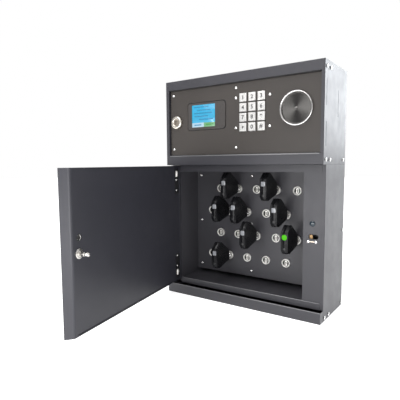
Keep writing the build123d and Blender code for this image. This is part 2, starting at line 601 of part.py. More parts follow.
with BuildPart() as door_shell:
    with BuildSketch(Plane.YZ.offset(DOOR_LEFT)):
        door_section(0, DOOR_BACK)
    extrude(amount=DOOR_RIGHT - DOOR_LEFT)
    front_bends = door_shell.edges().filter_by(Axis.Z).group_by(Axis.Y)[0]
    fillet(front_bends, 1.5)
    rear_bend = door_shell.edges().filter_by(Axis.Z).group_by(Axis.Y)[-1].sort_by(Axis.X)[-1]
    fillet(rear_bend, 2.6)
    with BuildSketch(Plane.YZ.offset(DOOR_LEFT + SHEET)):
        door_section(SHEET, COVER_FACE)
    extrude(amount=DOOR_RIGHT - DOOR_LEFT - 2 * SHEET, mode=Mode.SUBTRACT)
    opening = (DOOR_LEFT + SHEET, DOOR_RIGHT - DOOR_LIP, COVER_FACE - 1, DOOR_BACK + 1)
    slab(*opening, DOOR_LOW + SHEET, DOOR_TOP - SHEET, Mode.SUBTRACT)
    rod_z(pivot_x, pivot_depth, PIVOT_R + 0.01, DOOR_SKIN_LOW - 1, DOOR_TOP + 1, Mode.SUBTRACT)
save(swung(door_shell.part), "door_shell")

with BuildPart() as door_inner_cover:
    gap = SHEET + 0.15
    slab(
        DOOR_LEFT + gap,
        DOOR_RIGHT - gap,
        COVER_FACE - SHEET,
        COVER_FACE,
        DOOR_LOW + gap,
        DOOR_TOP - gap,
    )
    for z0, z1 in BLOCK_SPANS:
        slab(pivot_x - 7.4, pivot_x + 7.4, COVER_FACE - 2, COVER_FACE + 1, z0 - 0.2, z1 + 0.2, Mode.SUBTRACT)
    rod_y(*MAGNET, 4.8, COVER_FACE - 2, COVER_FACE + 1, Mode.SUBTRACT)
save(swung(door_inner_cover.part), "door_inner_cover")

with BuildPart() as hinge_blocks:
    for z0, z1 in BLOCK_SPANS:
        slab(pivot_x - 7.2, pivot_x + 7.2, DOOR_FRONT + 2.2, COVER_FACE + 0.2, z0, z1)
    for z in BARREL_ZS:
        slab(pivot_x - 3.5, pivot_x + 3.5, pivot_depth + 2.5, COVER_FACE + 1, z - 6, z + 6, Mode.SUBTRACT)
    rod_z(pivot_x, pivot_depth, PIVOT_R, DOOR_SKIN_LOW, DOOR_TOP, Mode.SUBTRACT)
    for z in HINGE_SCREW_ZS:
        rod_y(pivot_x + 1.5, z, SCREW_R + 0.02, 5, COVER_FACE + 1, Mode.SUBTRACT)
save(swung(hinge_blocks.part), "hinge_blocks")

with BuildPart() as pivot_pins:
    rod_z(pivot_x, pivot_depth, PIVOT_R, 190, HOOD_BOTTOM + 2.2)
    rod_z(pivot_x, pivot_depth, PIVOT_R, TRAY_TOP - 2.2, 60)
save(swung(pivot_pins.part), "pivot_pins")

with BuildPart() as spring_barrels:
    for z in BARREL_ZS:
        rod_z(pivot_x, pivot_depth + 6, 3.3, z - 5.7, z + 5.7)
    ends = spring_barrels.edges().filter_by(GeomType.CIRCLE)
    fillet(ends, 0.8)
save(swung(spring_barrels.part), "spring_barrels")

with BuildPart() as hinge_screws:
    for z in HINGE_SCREW_ZS:
        rod_y(pivot_x + 1.5, z, 1.9, COVER_FACE + 0.2, COVER_FACE + 1.4)
        rod_y(pivot_x + 1.5, z, SCREW_R, 5, COVER_FACE + 0.2)
save(swung(hinge_screws.part), "hinge_screws")

with BuildPart() as latch_peg:
    rod_y(*PEG, 6.5, COVER_FACE, COVER_FACE + 1.5)
    rod_y(*PEG, 2.7, COVER_FACE + 1.5, COVER_FACE + 16)
    rod_y(*PEG, 4, 19, 22, Mode.SUBTRACT)
    rod_y(*PEG, 1.8, 18, 23)
    tip = latch_peg.edges().filter_by(GeomType.CIRCLE).group_by(Axis.Y)[-1]
    chamfer(tip, 0.8)
save(swung(latch_peg.part), "latch_peg")

with BuildPart() as door_magnet:
    rod_y(*MAGNET, 4.7, 3, COVER_FACE - 0.6)
    rod_y(*MAGNET, 2.4, COVER_FACE - 1.4, COVER_FACE, Mode.SUBTRACT)
save(swung(door_magnet.part), "door_magnet")

# ---------------------------------------------------------------- electronic keys
BOW_FRONT = 18.0
BOW_END = 58.0
BOW_THICK = 11.6
BOW_CORNER = 2.5
BOW_EDGE = 1.6
LED_SIZE = (8.2, 8.4)
LED_RISE = 12.5

for key_index, (row, column) in enumerate(KEYS_FITTED):
    port_x = ROW_CENTRES[row] + (column - 2) * PORT_PITCH
    port_z = TOP_ROW - row * ROW_PITCH
    side_plane = Plane(origin=(port_x, y_at(0), port_z), x_dir=(0, 1, 0), z_dir=(1, 0, 0))
    with BuildPart() as smart_key:
        with BuildSketch(side_plane) as bow_outline:
            with BuildLine() as bow_edge:
                Line((BOW_END, -5), (BOW_END, 6))
                ThreePointArc((BOW_END, 6), (51.5, 16.5), (40, 24))
                Line((40, 24), (31.5, 30))
                ThreePointArc((31.5, 30), (22.8, 25.5), (BOW_FRONT, 17))
                Line((BOW_FRONT, 17), (BOW_FRONT, -9))
                ThreePointArc((BOW_FRONT, -9), (20, -13.2), (25, -14.5))
                Line((25, -14.5), (BOW_END, -5))
            make_face()
            fillet(bow_outline.vertices(), BOW_CORNER)
        extrude(amount=BOW_THICK / 2, both=True)
        outline = smart_key.faces().sort_by(Axis.X)[0].edges()
        fillet(outline, BOW_EDGE)
        outline = smart_key.faces().sort_by(Axis.X)[-1].edges()
        fillet(outline, BOW_EDGE)
        led_low, led_top = port_z + LED_RISE - LED_SIZE[1] / 2, port_z + LED_RISE + LED_SIZE[1] / 2
        led_left, led_right = port_x - LED_SIZE[0] / 2, port_x + LED_SIZE[0] / 2
        slab(led_left, led_right, BOW_FRONT - 1, BOW_FRONT + 1.2, led_low, led_top, Mode.SUBTRACT)
    with BuildPart() as key_nose:
        rod_y(port_x, port_z, 5.2, BOW_END, PORT_FACE - 0.3)
        slab(port_x - 1.1, port_x + 1.1, PORT_FACE - 0.4, 77, port_z - 4, port_z + 4)
    with BuildPart() as key_light:
        gap = 0.05
        spans = (led_left + gap, led_right - gap, BOW_FRONT - 0.2, BOW_FRONT + 1.2)
        slab(*spans, led_low + gap, led_top - gap)
    solids = [smart_key.part.solid(), key_nose.part.solid(), key_light.part.solid()]
    save(Compound(children=solids), f"smart_key_{key_index + 1}")
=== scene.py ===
"""The looks of an electronic key cabinet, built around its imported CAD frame.

Everything is in metres, in the frame of the part: +X to the right, +Y to the wall, +Z up.
"""

import json
import math

import bmesh
import bpy
from mathutils import Euler, Matrix, Vector


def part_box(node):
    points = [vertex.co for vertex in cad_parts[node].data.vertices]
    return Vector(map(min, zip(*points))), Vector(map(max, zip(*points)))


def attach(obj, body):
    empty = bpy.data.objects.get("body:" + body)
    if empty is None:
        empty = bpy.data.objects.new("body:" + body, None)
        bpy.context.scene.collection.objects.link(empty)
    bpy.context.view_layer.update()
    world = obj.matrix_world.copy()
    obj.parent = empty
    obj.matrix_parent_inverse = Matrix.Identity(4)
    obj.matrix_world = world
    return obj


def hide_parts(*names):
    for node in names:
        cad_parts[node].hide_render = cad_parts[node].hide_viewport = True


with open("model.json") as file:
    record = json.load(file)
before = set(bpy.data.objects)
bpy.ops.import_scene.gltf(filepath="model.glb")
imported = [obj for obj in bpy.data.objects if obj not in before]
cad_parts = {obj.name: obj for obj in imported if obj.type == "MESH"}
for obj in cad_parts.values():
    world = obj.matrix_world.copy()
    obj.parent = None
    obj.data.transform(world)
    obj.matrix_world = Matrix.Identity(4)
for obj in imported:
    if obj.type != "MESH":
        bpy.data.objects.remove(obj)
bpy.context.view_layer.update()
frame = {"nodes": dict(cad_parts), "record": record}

MM = 0.001
TAU = 2 * math.pi
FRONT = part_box("upper_hood")[0].y  # the front plane of the upper section
TOWARDS_USER = Vector((0, -1, 0))
TOWARDS_WALL = Vector((0, 1, 0))


# ======== camera, light and floor
CAMERA_PLACE = Vector((0.3236, -0.6071, 0.2330))
CAMERA_YAW = math.radians(35.316)  # turned to the left of +Y
CAMERA_PITCH = math.radians(5.189)  # tilted down
CAMERA_ROLL = math.radians(-0.406)
CAMERA_LENS = 36.05
CAMERA_SENSOR = 36.0
WHITE_WALL = (1.0, 1.0, 1.0)
DIM_WALL = (0.36, 0.36, 0.37)
DIM_SIDE = (-0.5, -0.866, 0.0)  # the way to the dimmer side of the room
WALL_FADE = (0.15, 0.85)  # where the white wall starts to dim and where it is dim, along DIM_SIDE
FLOOR_GLOW = 0.6
FLOOR_REACH = 6.0
# name, place, target, size, power in watts, colour
LIGHTS = (
    ("key", (-0.5, -1.7, 1.3), (0, 0, 0.2), (1.3, 1.0), 15, (1, 1, 1)),
    ("low_card", (0.1, -1.1, 0.08), (0, 0, 0.06), (1.2, 0.16), 6, (1, 1, 1)),
    ("overhead", (-0.1, -0.55, 1.6), (0, -0.1, 0.2), (1.2, 0.35), 12, (1, 1, 1)),
    ("side_card", (1.15, 2.4, 1.05), (0.1, 0, 0.25), (1.8, 1.5), 50, (0.92, 0.96, 1.0)),
)


def make_camera():
    """A full-frame camera to the right of the cabinet, turned and tilted towards it."""
    data = bpy.data.cameras.new("camera")
    data.lens = CAMERA_LENS
    data.sensor_width = CAMERA_SENSOR
    data.clip_start = 0.01
    data.clip_end = 50
    camera = bpy.data.objects.new("camera", data)
    bpy.context.scene.collection.objects.link(camera)
    turn = Euler((math.pi / 2 - CAMERA_PITCH, 0, CAMERA_YAW)).to_matrix()
    turn = turn @ Matrix.Rotation(CAMERA_ROLL, 3, "Z")
    camera.matrix_world = Matrix.Translation(CAMERA_PLACE) @ turn.to_4x4()
    bpy.context.scene.camera = camera


def area_light(name, place, target, size, power, colour):
    """A soft rectangular light that faces its target."""
    data = bpy.data.lights.new(name, "AREA")
    data.shape = "RECTANGLE"
    data.size, data.size_y = size
    data.energy = power
    data.color = colour
    light = bpy.data.objects.new(name, data)
    bpy.context.scene.collection.objects.link(light)
    place = Vector(place)
    aim = (Vector(target) - place).to_track_quat("-Z", "Y")
    light.matrix_world = Matrix.Translation(place) @ aim.to_matrix().to_4x4()


def make_stage():
    """A white room with one dimmer side, a pale floor and four soft lights."""
    world = bpy.data.worlds.new("studio")
    bpy.context.scene.world = world
    world.use_nodes = True
    tree = world.node_tree
    direction = tree.nodes.new("ShaderNodeTexCoord").outputs["Generated"]
    towards = tree.nodes.new("ShaderNodeVectorMath")
    towards.operation = "DOT_PRODUCT"
    towards.inputs[1].default_value = DIM_SIDE
    tree.links.new(direction, towards.inputs[0])
    wall = ramp(tree, towards.outputs["Value"], list(zip(WALL_FADE, (WHITE_WALL, DIM_WALL))))
    tree.links.new(wall, tree.nodes["Background"].inputs["Color"])
    mesh = bpy.data.meshes.new("floor")
    corners = [(x * FLOOR_REACH, y * FLOOR_REACH, 0) for x, y in ((-1, -1), (1, -1), (1, 1), (-1, 1))]
    mesh.from_pydata(corners, [], [(0, 1, 2, 3)])
    floor = bpy.data.objects.new("floor", mesh)
    bpy.context.scene.collection.objects.link(floor)
    floor.data.materials.append(floor_material())
    for light in LIGHTS:
        area_light(*light)


def floor_material():
    """Matt white, a little lit from below as on a product photographer's table."""
    material, _, shader = new_material("floor")
    set_shader(shader, Base_Color=(0.93, 0.93, 0.93), Roughness=0.9, Specular_IOR_Level=0.1)
    set_shader(shader, Emission_Color=(1, 1, 1), Emission_Strength=FLOOR_GLOW)
    return material


# ======== materials
def new_material(name):
    """A new material with its node tree and its shader."""
    material = bpy.data.materials.new(name)
    material.use_nodes = True
    tree = material.node_tree
    return material, tree, tree.nodes["Principled BSDF"]


def set_shader(shader, **values):
    """Sets the shader's own sockets; an underscore stands for a space, three numbers are a colour."""
    for key, value in values.items():
        socket = shader.inputs[key.replace("_", " ")]
        socket.default_value = (*value, 1) if isinstance(value, tuple) else value


def coordinates(tree, stretch=(1, 1, 1)):
    """Object coordinates, in metres, stretched along some axes."""
    source = tree.nodes.new("ShaderNodeTexCoord")
    mapping = tree.nodes.new("ShaderNodeMapping")
    mapping.inputs["Scale"].default_value = stretch
    tree.links.new(source.outputs["Object"], mapping.inputs["Vector"])
    return mapping.outputs["Vector"]


def noise(tree, vector, scale, detail, roughness=0.5):
    """A noise value; scale is in waves a metre."""
    node = tree.nodes.new("ShaderNodeTexNoise")
    node.inputs["Scale"].default_value = scale
    node.inputs["Detail"].default_value = detail
    node.inputs["Roughness"].default_value = roughness
    tree.links.new(vector, node.inputs["Vector"])
    return node.outputs["Fac"]


def ramp(tree, value, stops):
    """A colour ramp: stops are (position, colour)."""
    node = tree.nodes.new("ShaderNodeValToRGB")
    elements = node.color_ramp.elements
    while len(elements) < len(stops):
        elements.new(0.5)
    for element, (position, colour) in zip(elements, stops):
        element.position = position
        element.color = (*colour, 1)
    tree.links.new(value, node.inputs["Fac"])
    return node.outputs["Color"]


def roughen(tree, shader, value, low, high):
    """Lets a noise value, usually 0.3 to 0.7, set the roughness from low to high."""
    node = tree.nodes.new("ShaderNodeMapRange")
    for key, number in (("From Min", 0.3), ("From Max", 0.7), ("To Min", low), ("To Max", high)):
        node.inputs[key].default_value = number
    tree.links.new(value, node.inputs["Value"])
    tree.links.new(node.outputs["Result"], shader.inputs["Roughness"])


def bump(tree, shader, height, distance, strength):
    """Lets a height value, distance metres from low to high, tilt the shader's normal."""
    node = tree.nodes.new("ShaderNodeBump")
    node.inputs["Distance"].default_value = distance
    node.inputs["Strength"].default_value = strength
    tree.links.new(height, node.inputs["Height"])
    tree.links.new(node.outputs["Normal"], shader.inputs["Normal"])


def shade(colour, factor):
    """The colour made lighter or darker."""
    return tuple(channel * factor for channel in colour)


def tint(tree, value, socket, colour, dark, light):
    """Feeds a socket the colour, darker where a noise value is low and lighter where it is high."""
    stops = [(0.3, shade(colour, dark)), (0.7, shade(colour, light))]
    tree.links.new(ramp(tree, value, stops), socket)


def powder_coat(name, colour, roughness, level=0.5):
    """Baked satin paint on sheet steel: fine orange peel, slightly uneven in tone and gloss."""
    material, tree, shader = new_material(name)
    place = coordinates(tree)
    tint(tree, noise(tree, place, 14, 3), shader.inputs["Base Color"], colour, 0.93, 1.07)
    roughen(tree, shader, noise(tree, place, 60, 4), roughness - 0.035, roughness + 0.035)
    bump(tree, shader, noise(tree, place, 1500, 2), 0.00004, 0.35)
    set_shader(shader, Specular_IOR_Level=level)
    return material


def metal(name, colour, roughness, stretch=(1, 1, 1), grain=900, metallic=1.0):
    """Plated or brushed metal: fine marks along one direction. Satin plating is less than metallic."""
    material, tree, shader = new_material(name)
    place = coordinates(tree, stretch)
    marks = noise(tree, place, grain, 3, 0.6)
    tint(tree, marks, shader.inputs["Base Color"], colour, 0.94, 1)
    roughen(tree, shader, marks, roughness * 0.8, roughness * 1.25)
    bump(tree, shader, marks, 0.00001, 0.4)
    set_shader(shader, Metallic=metallic)
    return material


def plastic(name, colour, roughness, level=0.5):
    """Moulded plastic with a fine spark-eroded texture."""
    material, tree, shader = new_material(name)
    place = coordinates(tree)
    texture = noise(tree, place, 2200, 2)
    tint(tree, noise(tree, place, 40, 2), shader.inputs["Base Color"], colour, 0.92, 1.08)
    roughen(tree, shader, texture, roughness - 0.05, roughness + 0.05)
    bump(tree, shader, texture, 0.00003, 0.3)
    set_shader(shader, Specular_IOR_Level=level)
    return material


def circuit_board(name, colour):
    """Solder mask over copper tracks."""
    material, tree, shader = new_material(name)
    place = coordinates(tree)
    brick = tree.nodes.new("ShaderNodeTexBrick")
    brick.inputs["Scale"].default_value = 260
    brick.inputs["Mortar Size"].default_value = 0.018
    brick.inputs["Color1"].default_value = (*colour, 1)
    brick.inputs["Color2"].default_value = (*shade(colour, 0.8), 1)
    brick.inputs["Mortar"].default_value = (*shade(colour, 2.0), 1)
    swap = tree.nodes.new("ShaderNodeMapping")
    swap.inputs["Rotation"].default_value = (math.pi / 2, 0, 0)
    tree.links.new(place, swap.inputs["Vector"])
    tree.links.new(swap.outputs["Vector"], brick.inputs["Vector"])
    tree.links.new(brick.outputs["Color"], shader.inputs["Base Color"])
    bump(tree, shader, brick.outputs["Fac"], 0.00003, 0.5)
    set_shader(shader, Roughness=0.32, Coat_Weight=0.3)
    return material


def glow(name, colour, strength, base=(0.02, 0.02, 0.02), level=0.5):
    """A lit surface, with a faint cloud so that it isn't one flat value."""
    material, tree, shader = new_material(name)
    tint(tree, noise(tree, coordinates(tree), 60, 2), shader.inputs["Emission Color"], colour, 0.93, 1)
    set_shader(shader, Base_Color=base, Emission_Strength=strength)
    set_shader(shader, Roughness=0.2, Specular_IOR_Level=level)
    return material


def spun_metal(name, colour, roughness):
    """Metal turned on a lathe: circular marks that spread the light into a fan."""
    material, tree, shader = new_material(name)
    low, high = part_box("reader_disc")
    place = coordinates(tree)
    arm = tree.nodes.new("ShaderNodeVectorMath")
    arm.operation = "SUBTRACT"
    arm.inputs[1].default_value = (low + high) / 2
    tree.links.new(place, arm.inputs[0])
    tangent = tree.nodes.new("ShaderNodeVectorMath")
    tangent.operation = "CROSS_PRODUCT"
    tangent.inputs[1].default_value = TOWARDS_USER
    tree.links.new(arm.outputs["Vector"], tangent.inputs[0])
    tree.links.new(tangent.outputs["Vector"], shader.inputs["Tangent"])
    tint(tree, noise(tree, place, 500, 3), shader.inputs["Base Color"], colour, 0.9, 1.1)
    set_shader(shader, Metallic=1.0, Roughness=roughness, Anisotropic=0.85)
    return material


def clear(name):
    """A clear moulded pane with faint clouding in its gloss."""
    material, tree, shader = new_material(name)
    roughen(tree, shader, noise(tree, coordinates(tree), 120, 2), 0.02, 0.06)
    set_shader(shader, Base_Color=(0.97, 0.98, 1.0), Transmission_Weight=1.0, IOR=1.2)
    return material


MATERIALS = {}


def make_materials():
    """Fills MATERIALS; the names that are record slots also dress the bare CAD nodes."""
    MATERIALS.update(
        casing=powder_coat("casing_paint", (0.029, 0.0285, 0.034), 0.40, 0.42),
        door_paint=powder_coat("door_paint", (0.022, 0.022, 0.029), 0.42, 0.45),
        panel_paint=powder_coat("panel_paint", (0.032, 0.0272, 0.0240), 0.46, 0.38),
        plate_paint=powder_coat("plate_paint", (0.038, 0.037, 0.043), 0.45),
        inner_steel=metal("zinc_sheet", (0.62, 0.63, 0.66), 0.35, grain=300),
        chrome=metal("bright_nickel", (0.88, 0.87, 0.85), 0.14),
        screw=metal("zinc_screw", (0.86, 0.86, 0.85), 0.2),
        key_steel=metal("satin_stainless", (0.80, 0.79, 0.77), 0.3, (1, 1, 14), 500),
        brass=metal("brushed_brass", (0.22, 0.145, 0.075), 0.36, (1, 1, 8)),
        black_plastic=plastic("black_plastic", (0.010, 0.010, 0.011), 0.36),
        dark_gloss=plastic("dark_gloss", (0.012, 0.022, 0.030), 0.12),
        window=plastic("window_border", (0.040, 0.036, 0.034), 0.3),
        board=circuit_board("solder_mask", (0.012, 0.085, 0.035)),
        rubber=plastic("rubber", (0.012, 0.012, 0.012), 0.7),
        reader=spun_metal("spun_dark_metal", (0.10, 0.097, 0.093), 0.26),
        ink=plastic("legend_ink", (0.03, 0.03, 0.03), 0.6),
        chip=plastic("chip_plastic", (0.015, 0.015, 0.016), 0.5),
        screen_blue=glow("screen_blue", (0.02, 0.47, 0.78), 1.0),
        screen_dark=glow("screen_dark", (0.008, 0.27, 0.52), 1.0),
        screen_white=glow("screen_white", (0.48, 0.70, 0.82), 1.0),
        screen_green=glow("screen_green", (0.17, 0.46, 0.20), 1.0),
        screen_leaf=glow("screen_leaf", (0.05, 0.36, 0.05), 1.0),
        key_gloss=plastic("key_bow_plastic", (0.005, 0.005, 0.006), 0.28, level=0.2),
        glass=clear("clear_pane"),
        ivory=plastic("ivory_plastic", (0.62, 0.58, 0.48), 0.45),
        led_green=glow("led_green", (0.075, 0.50, 0.001), 1.25, (0.002, 0.02, 0.002), 0.12),
        led_off=plastic("led_off", (0.20, 0.205, 0.22), 0.12),
        port_nickel=metal("satin_nickel", (0.96, 0.94, 0.90), 0.45, grain=400, metallic=0.55),
        peg_steel=metal("turned_peg_steel", (0.58, 0.56, 0.53), 0.26, grain=700),
        # painted highlight: a lighter, glossier paint on the rails' folded edges stands in for the bright
        # line that light from above puts on them
        edge_paint=powder_coat("edge_paint", (0.11, 0.11, 0.116), 0.32, 0.8),
        lock_nickel=metal("warm_nickel", (0.68, 0.64, 0.575), 0.26, grain=400),
        bezel_steel=metal("turned_steel", (0.60, 0.59, 0.58), 0.22, grain=600),
        plug_nickel=metal("worn_nickel", (0.50, 0.43, 0.36), 0.28),
    )


# ======== mesh helpers
CORNER_STEPS = 8  # edges round a corner


def loose_boxes(node):
    """The boxes of a CAD node's separate solids, as (lowest corner, highest corner)."""
    mesh = bmesh.new()
    mesh.from_mesh(frame["nodes"][node].data)
    bmesh.ops.remove_doubles(mesh, verts=mesh.verts, dist=1e-6)
    left = set(mesh.verts)
    boxes = []
    while left:
        stack = [left.pop()]
        group = []
        while stack:
            vertex = stack.pop()
            group.append(vertex.co.copy())
            for edge in vertex.link_edges:
                other = edge.other_vert(vertex)
                if other in left:
                    left.remove(other)
                    stack.append(other)
        low = Vector([min(point[axis] for point in group) for axis in range(3)])
        high = Vector([max(point[axis] for point in group) for axis in range(3)])
        boxes.append((low, high))
    mesh.free()
    return sorted(boxes, key=lambda box: (round(box[0].z, 4), round(box[0].x, 4), box[0].y))


def finish_mesh(mesh, name, material, body, smooth=35, replaces=()):
    """Turns a bmesh into a piece that rides on a body."""
    bmesh.ops.recalc_face_normals(mesh, faces=mesh.faces)
    data = bpy.data.meshes.new(name)
    mesh.to_mesh(data)
    mesh.free()
    piece = bpy.data.objects.new(name, data)
    bpy.context.scene.collection.objects.link(piece)
    data.materials.append(MATERIALS[material])
    data.set_sharp_from_angle(angle=math.radians(smooth))
    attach(piece, body)
    if replaces:
        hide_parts(*replaces)
    return piece


def join_rings(mesh, one, two):
    """The faces between two rings of as many vertices."""
    for step in range(len(one)):
        after = (step + 1) % len(one)
        mesh.faces.new((one[step], one[after], two[after], two[step]))


def add_ring(mesh, outline, x, y, z):
    """A ring of vertices: an outline in x and z, at one y."""
    return [mesh.verts.new((x + px, y, z + pz)) for px, pz in outline]


def add_lathe(mesh, profile, centre, axis, steps):
    """Revolves a profile of (radius, height) about an axis through centre; height runs along the axis."""
    turn = Vector(axis).to_track_quat("Z", "Y").to_matrix()
    rings = []
    for radius, height in profile:
        if radius < 1e-7:
            rings.append([mesh.verts.new(Vector(centre) + turn @ Vector((0, 0, height)))])
            continue
        ring = []
        for step in range(steps):
            angle = TAU * step / steps
            place = Vector((radius * math.cos(angle), radius * math.sin(angle), height))
            ring.append(mesh.verts.new(Vector(centre) + turn @ place))
        rings.append(ring)
    for lower, upper in zip(rings, rings[1:]):
        if len(lower) == len(upper):
            if len(lower) > 1:
                join_rings(mesh, lower, upper)
            continue
        for step in range(steps):
            after = (step + 1) % steps
            if len(lower) == 1:
                mesh.faces.new((lower[0], upper[step], upper[after]))
            else:
                mesh.faces.new((lower[step], lower[after], upper[0]))


def bevel_edges(mesh, edges, width, segments):
    """Rounds edges."""
    bmesh.ops.bevel(mesh, geom=edges, offset=width, segments=segments, affect="EDGES", profile=0.5)


def add_block(mesh, low, high, bevel=0.0, segments=2):
    """A block between two corners, with rounded edges."""
    part = bmesh.new()
    bmesh.ops.create_cube(part, size=1)
    size = Vector(high) - Vector(low)
    middle = (Vector(high) + Vector(low)) / 2
    for vertex in part.verts:
        vertex.co = Vector([vertex.co[axis] * size[axis] + middle[axis] for axis in range(3)])
    if bevel:
        bevel_edges(part, part.edges[:], bevel, segments)
    add_mesh(mesh, part)


def add_mesh(mesh, part, matrix=None):
    """Copies one bmesh into another and frees it."""
    if matrix is not None:
        bmesh.ops.transform(part, matrix=matrix, verts=part.verts)
    data = bpy.data.meshes.new("part")
    part.to_mesh(data)
    part.free()
    mesh.from_mesh(data)
    bpy.data.meshes.remove(data)


def rounded_outline(width, height, radius, steps=CORNER_STEPS):
    """Points of a rectangle with rounded corners, about the origin."""
    points = []
    for corner, (sx, sy) in enumerate(((1, 1), (-1, 1), (-1, -1), (1, -1))):
        cx, cy = sx * (width / 2 - radius), sy * (height / 2 - radius)
        for step in range(steps + 1):
            angle = math.pi / 2 * (corner + step / steps)
            points.append((cx + radius * math.cos(angle), cy + radius * math.sin(angle)))
    return points


def add_prism(mesh, outline, front, back, x, z):
    """A plate with that outline in x and z, between two y."""
    near, far = (add_ring(mesh, outline, x, y, z) for y in (front, back))
    mesh.faces.new(near)
    mesh.faces.new(list(reversed(far)))
    join_rings(mesh, near, far)


def add_frame_plate(mesh, outer, inner, front, back, x, z, inner_x, inner_z):
    """A plate with an opening; both outlines have the same number of points."""
    rings = [
        add_ring(mesh, outer, x, front, z),
        add_ring(mesh, inner, inner_x, front, inner_z),
        add_ring(mesh, inner, inner_x, back, inner_z),
        add_ring(mesh, outer, x, back, z),
    ]
    for one, two in zip(rings, rings[1:] + rings[:1]):
        join_rings(mesh, one, two)


def screw_template(radius, height):
    """A domed pan head with a cross recess, its seat at z = 0 and its top along +Z."""
    head = bmesh.new()
    profile = [(0, 0), (radius * 0.98, 0), (radius, height * 0.18)]
    for step in range(1, 6):
        angle = math.pi / 2 * step / 6
        profile.append((radius * (0.35 + 0.65 * math.cos(angle)), height * (0.18 + 0.82 * math.sin(angle))))
    profile.append((0, height))
    add_lathe(head, profile, (0, 0, 0), (0, 0, 1), 32)
    data = bpy.data.meshes.new("head")
    head.to_mesh(data)
    head.free()
    solid = bpy.data.objects.new("head", data)
    cutter_mesh = bmesh.new()
    for angle in (0.4, 0.4 + math.pi / 2):
        arm = bmesh.new()
        bmesh.ops.create_cube(arm, size=1)
        size = Matrix.Diagonal((radius * 1.15, radius * 0.26, height * 1.1, 1))
        lift = Matrix.Translation((0, 0, height))
        add_mesh(cutter_mesh, arm, lift @ Matrix.Rotation(angle, 4, "Z") @ size)
    cutter_data = bpy.data.meshes.new("cutter")
    cutter_mesh.to_mesh(cutter_data)
    cutter_mesh.free()
    cutter = bpy.data.objects.new("cutter", cutter_data)
    for item in (solid, cutter):
        bpy.context.scene.collection.objects.link(item)
    cut = solid.modifiers.new("cut", "BOOLEAN")
    cut.operation = "DIFFERENCE"
    cut.solver = "EXACT"
    cut.use_self = True
    cut.object = cutter
    view = bpy.context.evaluated_depsgraph_get()
    result = bpy.data.meshes.new_from_object(solid.evaluated_get(view))
    bpy.data.objects.remove(solid)
    bpy.data.objects.remove(cutter)
    return result


def add_screw(mesh, template, seat, direction, turn):
    """Copies a screw head to a seat, turned about its axis."""
    part = bmesh.new()
    part.from_mesh(template)
    aim = Vector(direction).to_track_quat("Z", "Y").to_matrix().to_4x4()
    add_mesh(mesh, part, Matrix.Translation(Vector(seat)) @ aim @ Matrix.Rotation(turn, 4, "Z"))


def paint_cad():
    """Every CAD node takes its slot's material, but the lock's plug is more worn."""
    slots = {entry["node"]: entry["material_slot"] for entry in frame["record"]["subparts"]}
    slots["lock_plug"] = "plug_nickel"
    for name, node in frame["nodes"].items():
        node.data.materials.clear()
        node.data.materials.append(MATERIALS[slots[name]])


# ======== screws and ports
HEAD_HEIGHT = 1.5 * MM
SHANK_RADIUS = 1.45 * MM
SIDE_HEAD_HEIGHT = 0.9 * MM
SIDE_HEAD_RADIUS = 2.6 * MM
SIDE_HEAD_SINK = 0.5 * MM  # how far below its outer face the head sits
PORT_BORE = 5.5 * MM
PORT_SHANK = 6.8 * MM
PORT_FLANGE = 3.1 * MM
CORE_RADIUS = 4.3 * MM
KEYWAY = (2.2 * MM, 6.0 * MM, 0.9 * MM)  # width, height and corner radius


def make_screws():
    """Heads with cross recesses and shanks in place of the plain screws that face the user."""
    turn = 0.0
    for node, body in (("frame_screws", "cabinet"), ("panel_screws", "service_panel")):
        mesh = bmesh.new()
        for low, high in loose_boxes(node):
            middle = (low + high) / 2
            template = screw_template((high.x - low.x) / 2, HEAD_HEIGHT)
            turn += 1.1
            seat = (middle.x, low.y + HEAD_HEIGHT, middle.z)
            add_screw(mesh, template, seat, TOWARDS_USER, turn)
            length = high.y - low.y - HEAD_HEIGHT
            shank = [(0, 0), (SHANK_RADIUS, 0), (SHANK_RADIUS, length - 0.5 * MM), (0, length)]
            add_lathe(mesh, shank, seat, TOWARDS_WALL, 16)
            bpy.data.meshes.remove(template)
        finish_mesh(mesh, node + "_detailed", "screw", body, 40, (node,))


def make_side_screws():
    """The low heads along both side walls."""
    mesh = bmesh.new()
    turn = 0.3
    template = screw_template(SIDE_HEAD_RADIUS, SIDE_HEAD_HEIGHT)
    for low, high in loose_boxes("side_screws"):
        side = 1 if low.x > 0 else -1
        outer = high.x if side > 0 else low.x
        middle = (low + high) / 2
        turn += 0.9
        seat = (outer - side * SIDE_HEAD_SINK, middle.y, middle.z)
        add_screw(mesh, template, seat, (side, 0, 0), turn)
    finish_mesh(mesh, "side_screw_heads", "screw", "cabinet", 40, ("side_screws",))


def make_ports():
    """Nickel rings with a turned face."""
    rings = bmesh.new()
    for low, high in loose_boxes("port_bodies"):
        middle = (low + high) / 2
        outer = (high.x - low.x) / 2
        seat = (middle.x, low.y, middle.z)
        depth = high.y - low.y
        profile = [
            (PORT_BORE, depth),
            (PORT_BORE, 0.9 * MM),
            (5.75 * MM, 0.35 * MM),
            (6.3 * MM, 0),
            (6.9 * MM, 0.12 * MM),
            (outer - 0.12 * MM, 0.6 * MM),
            (outer, 1.2 * MM),
            (outer, PORT_FLANGE),
            (PORT_SHANK, PORT_FLANGE),
            (PORT_SHANK, depth),
            (PORT_BORE, depth),
        ]
        add_lathe(rings, profile, seat, TOWARDS_WALL, 40)
    finish_mesh(rings, "port_rings", "port_nickel", "cabinet", 40, ("port_bodies",))


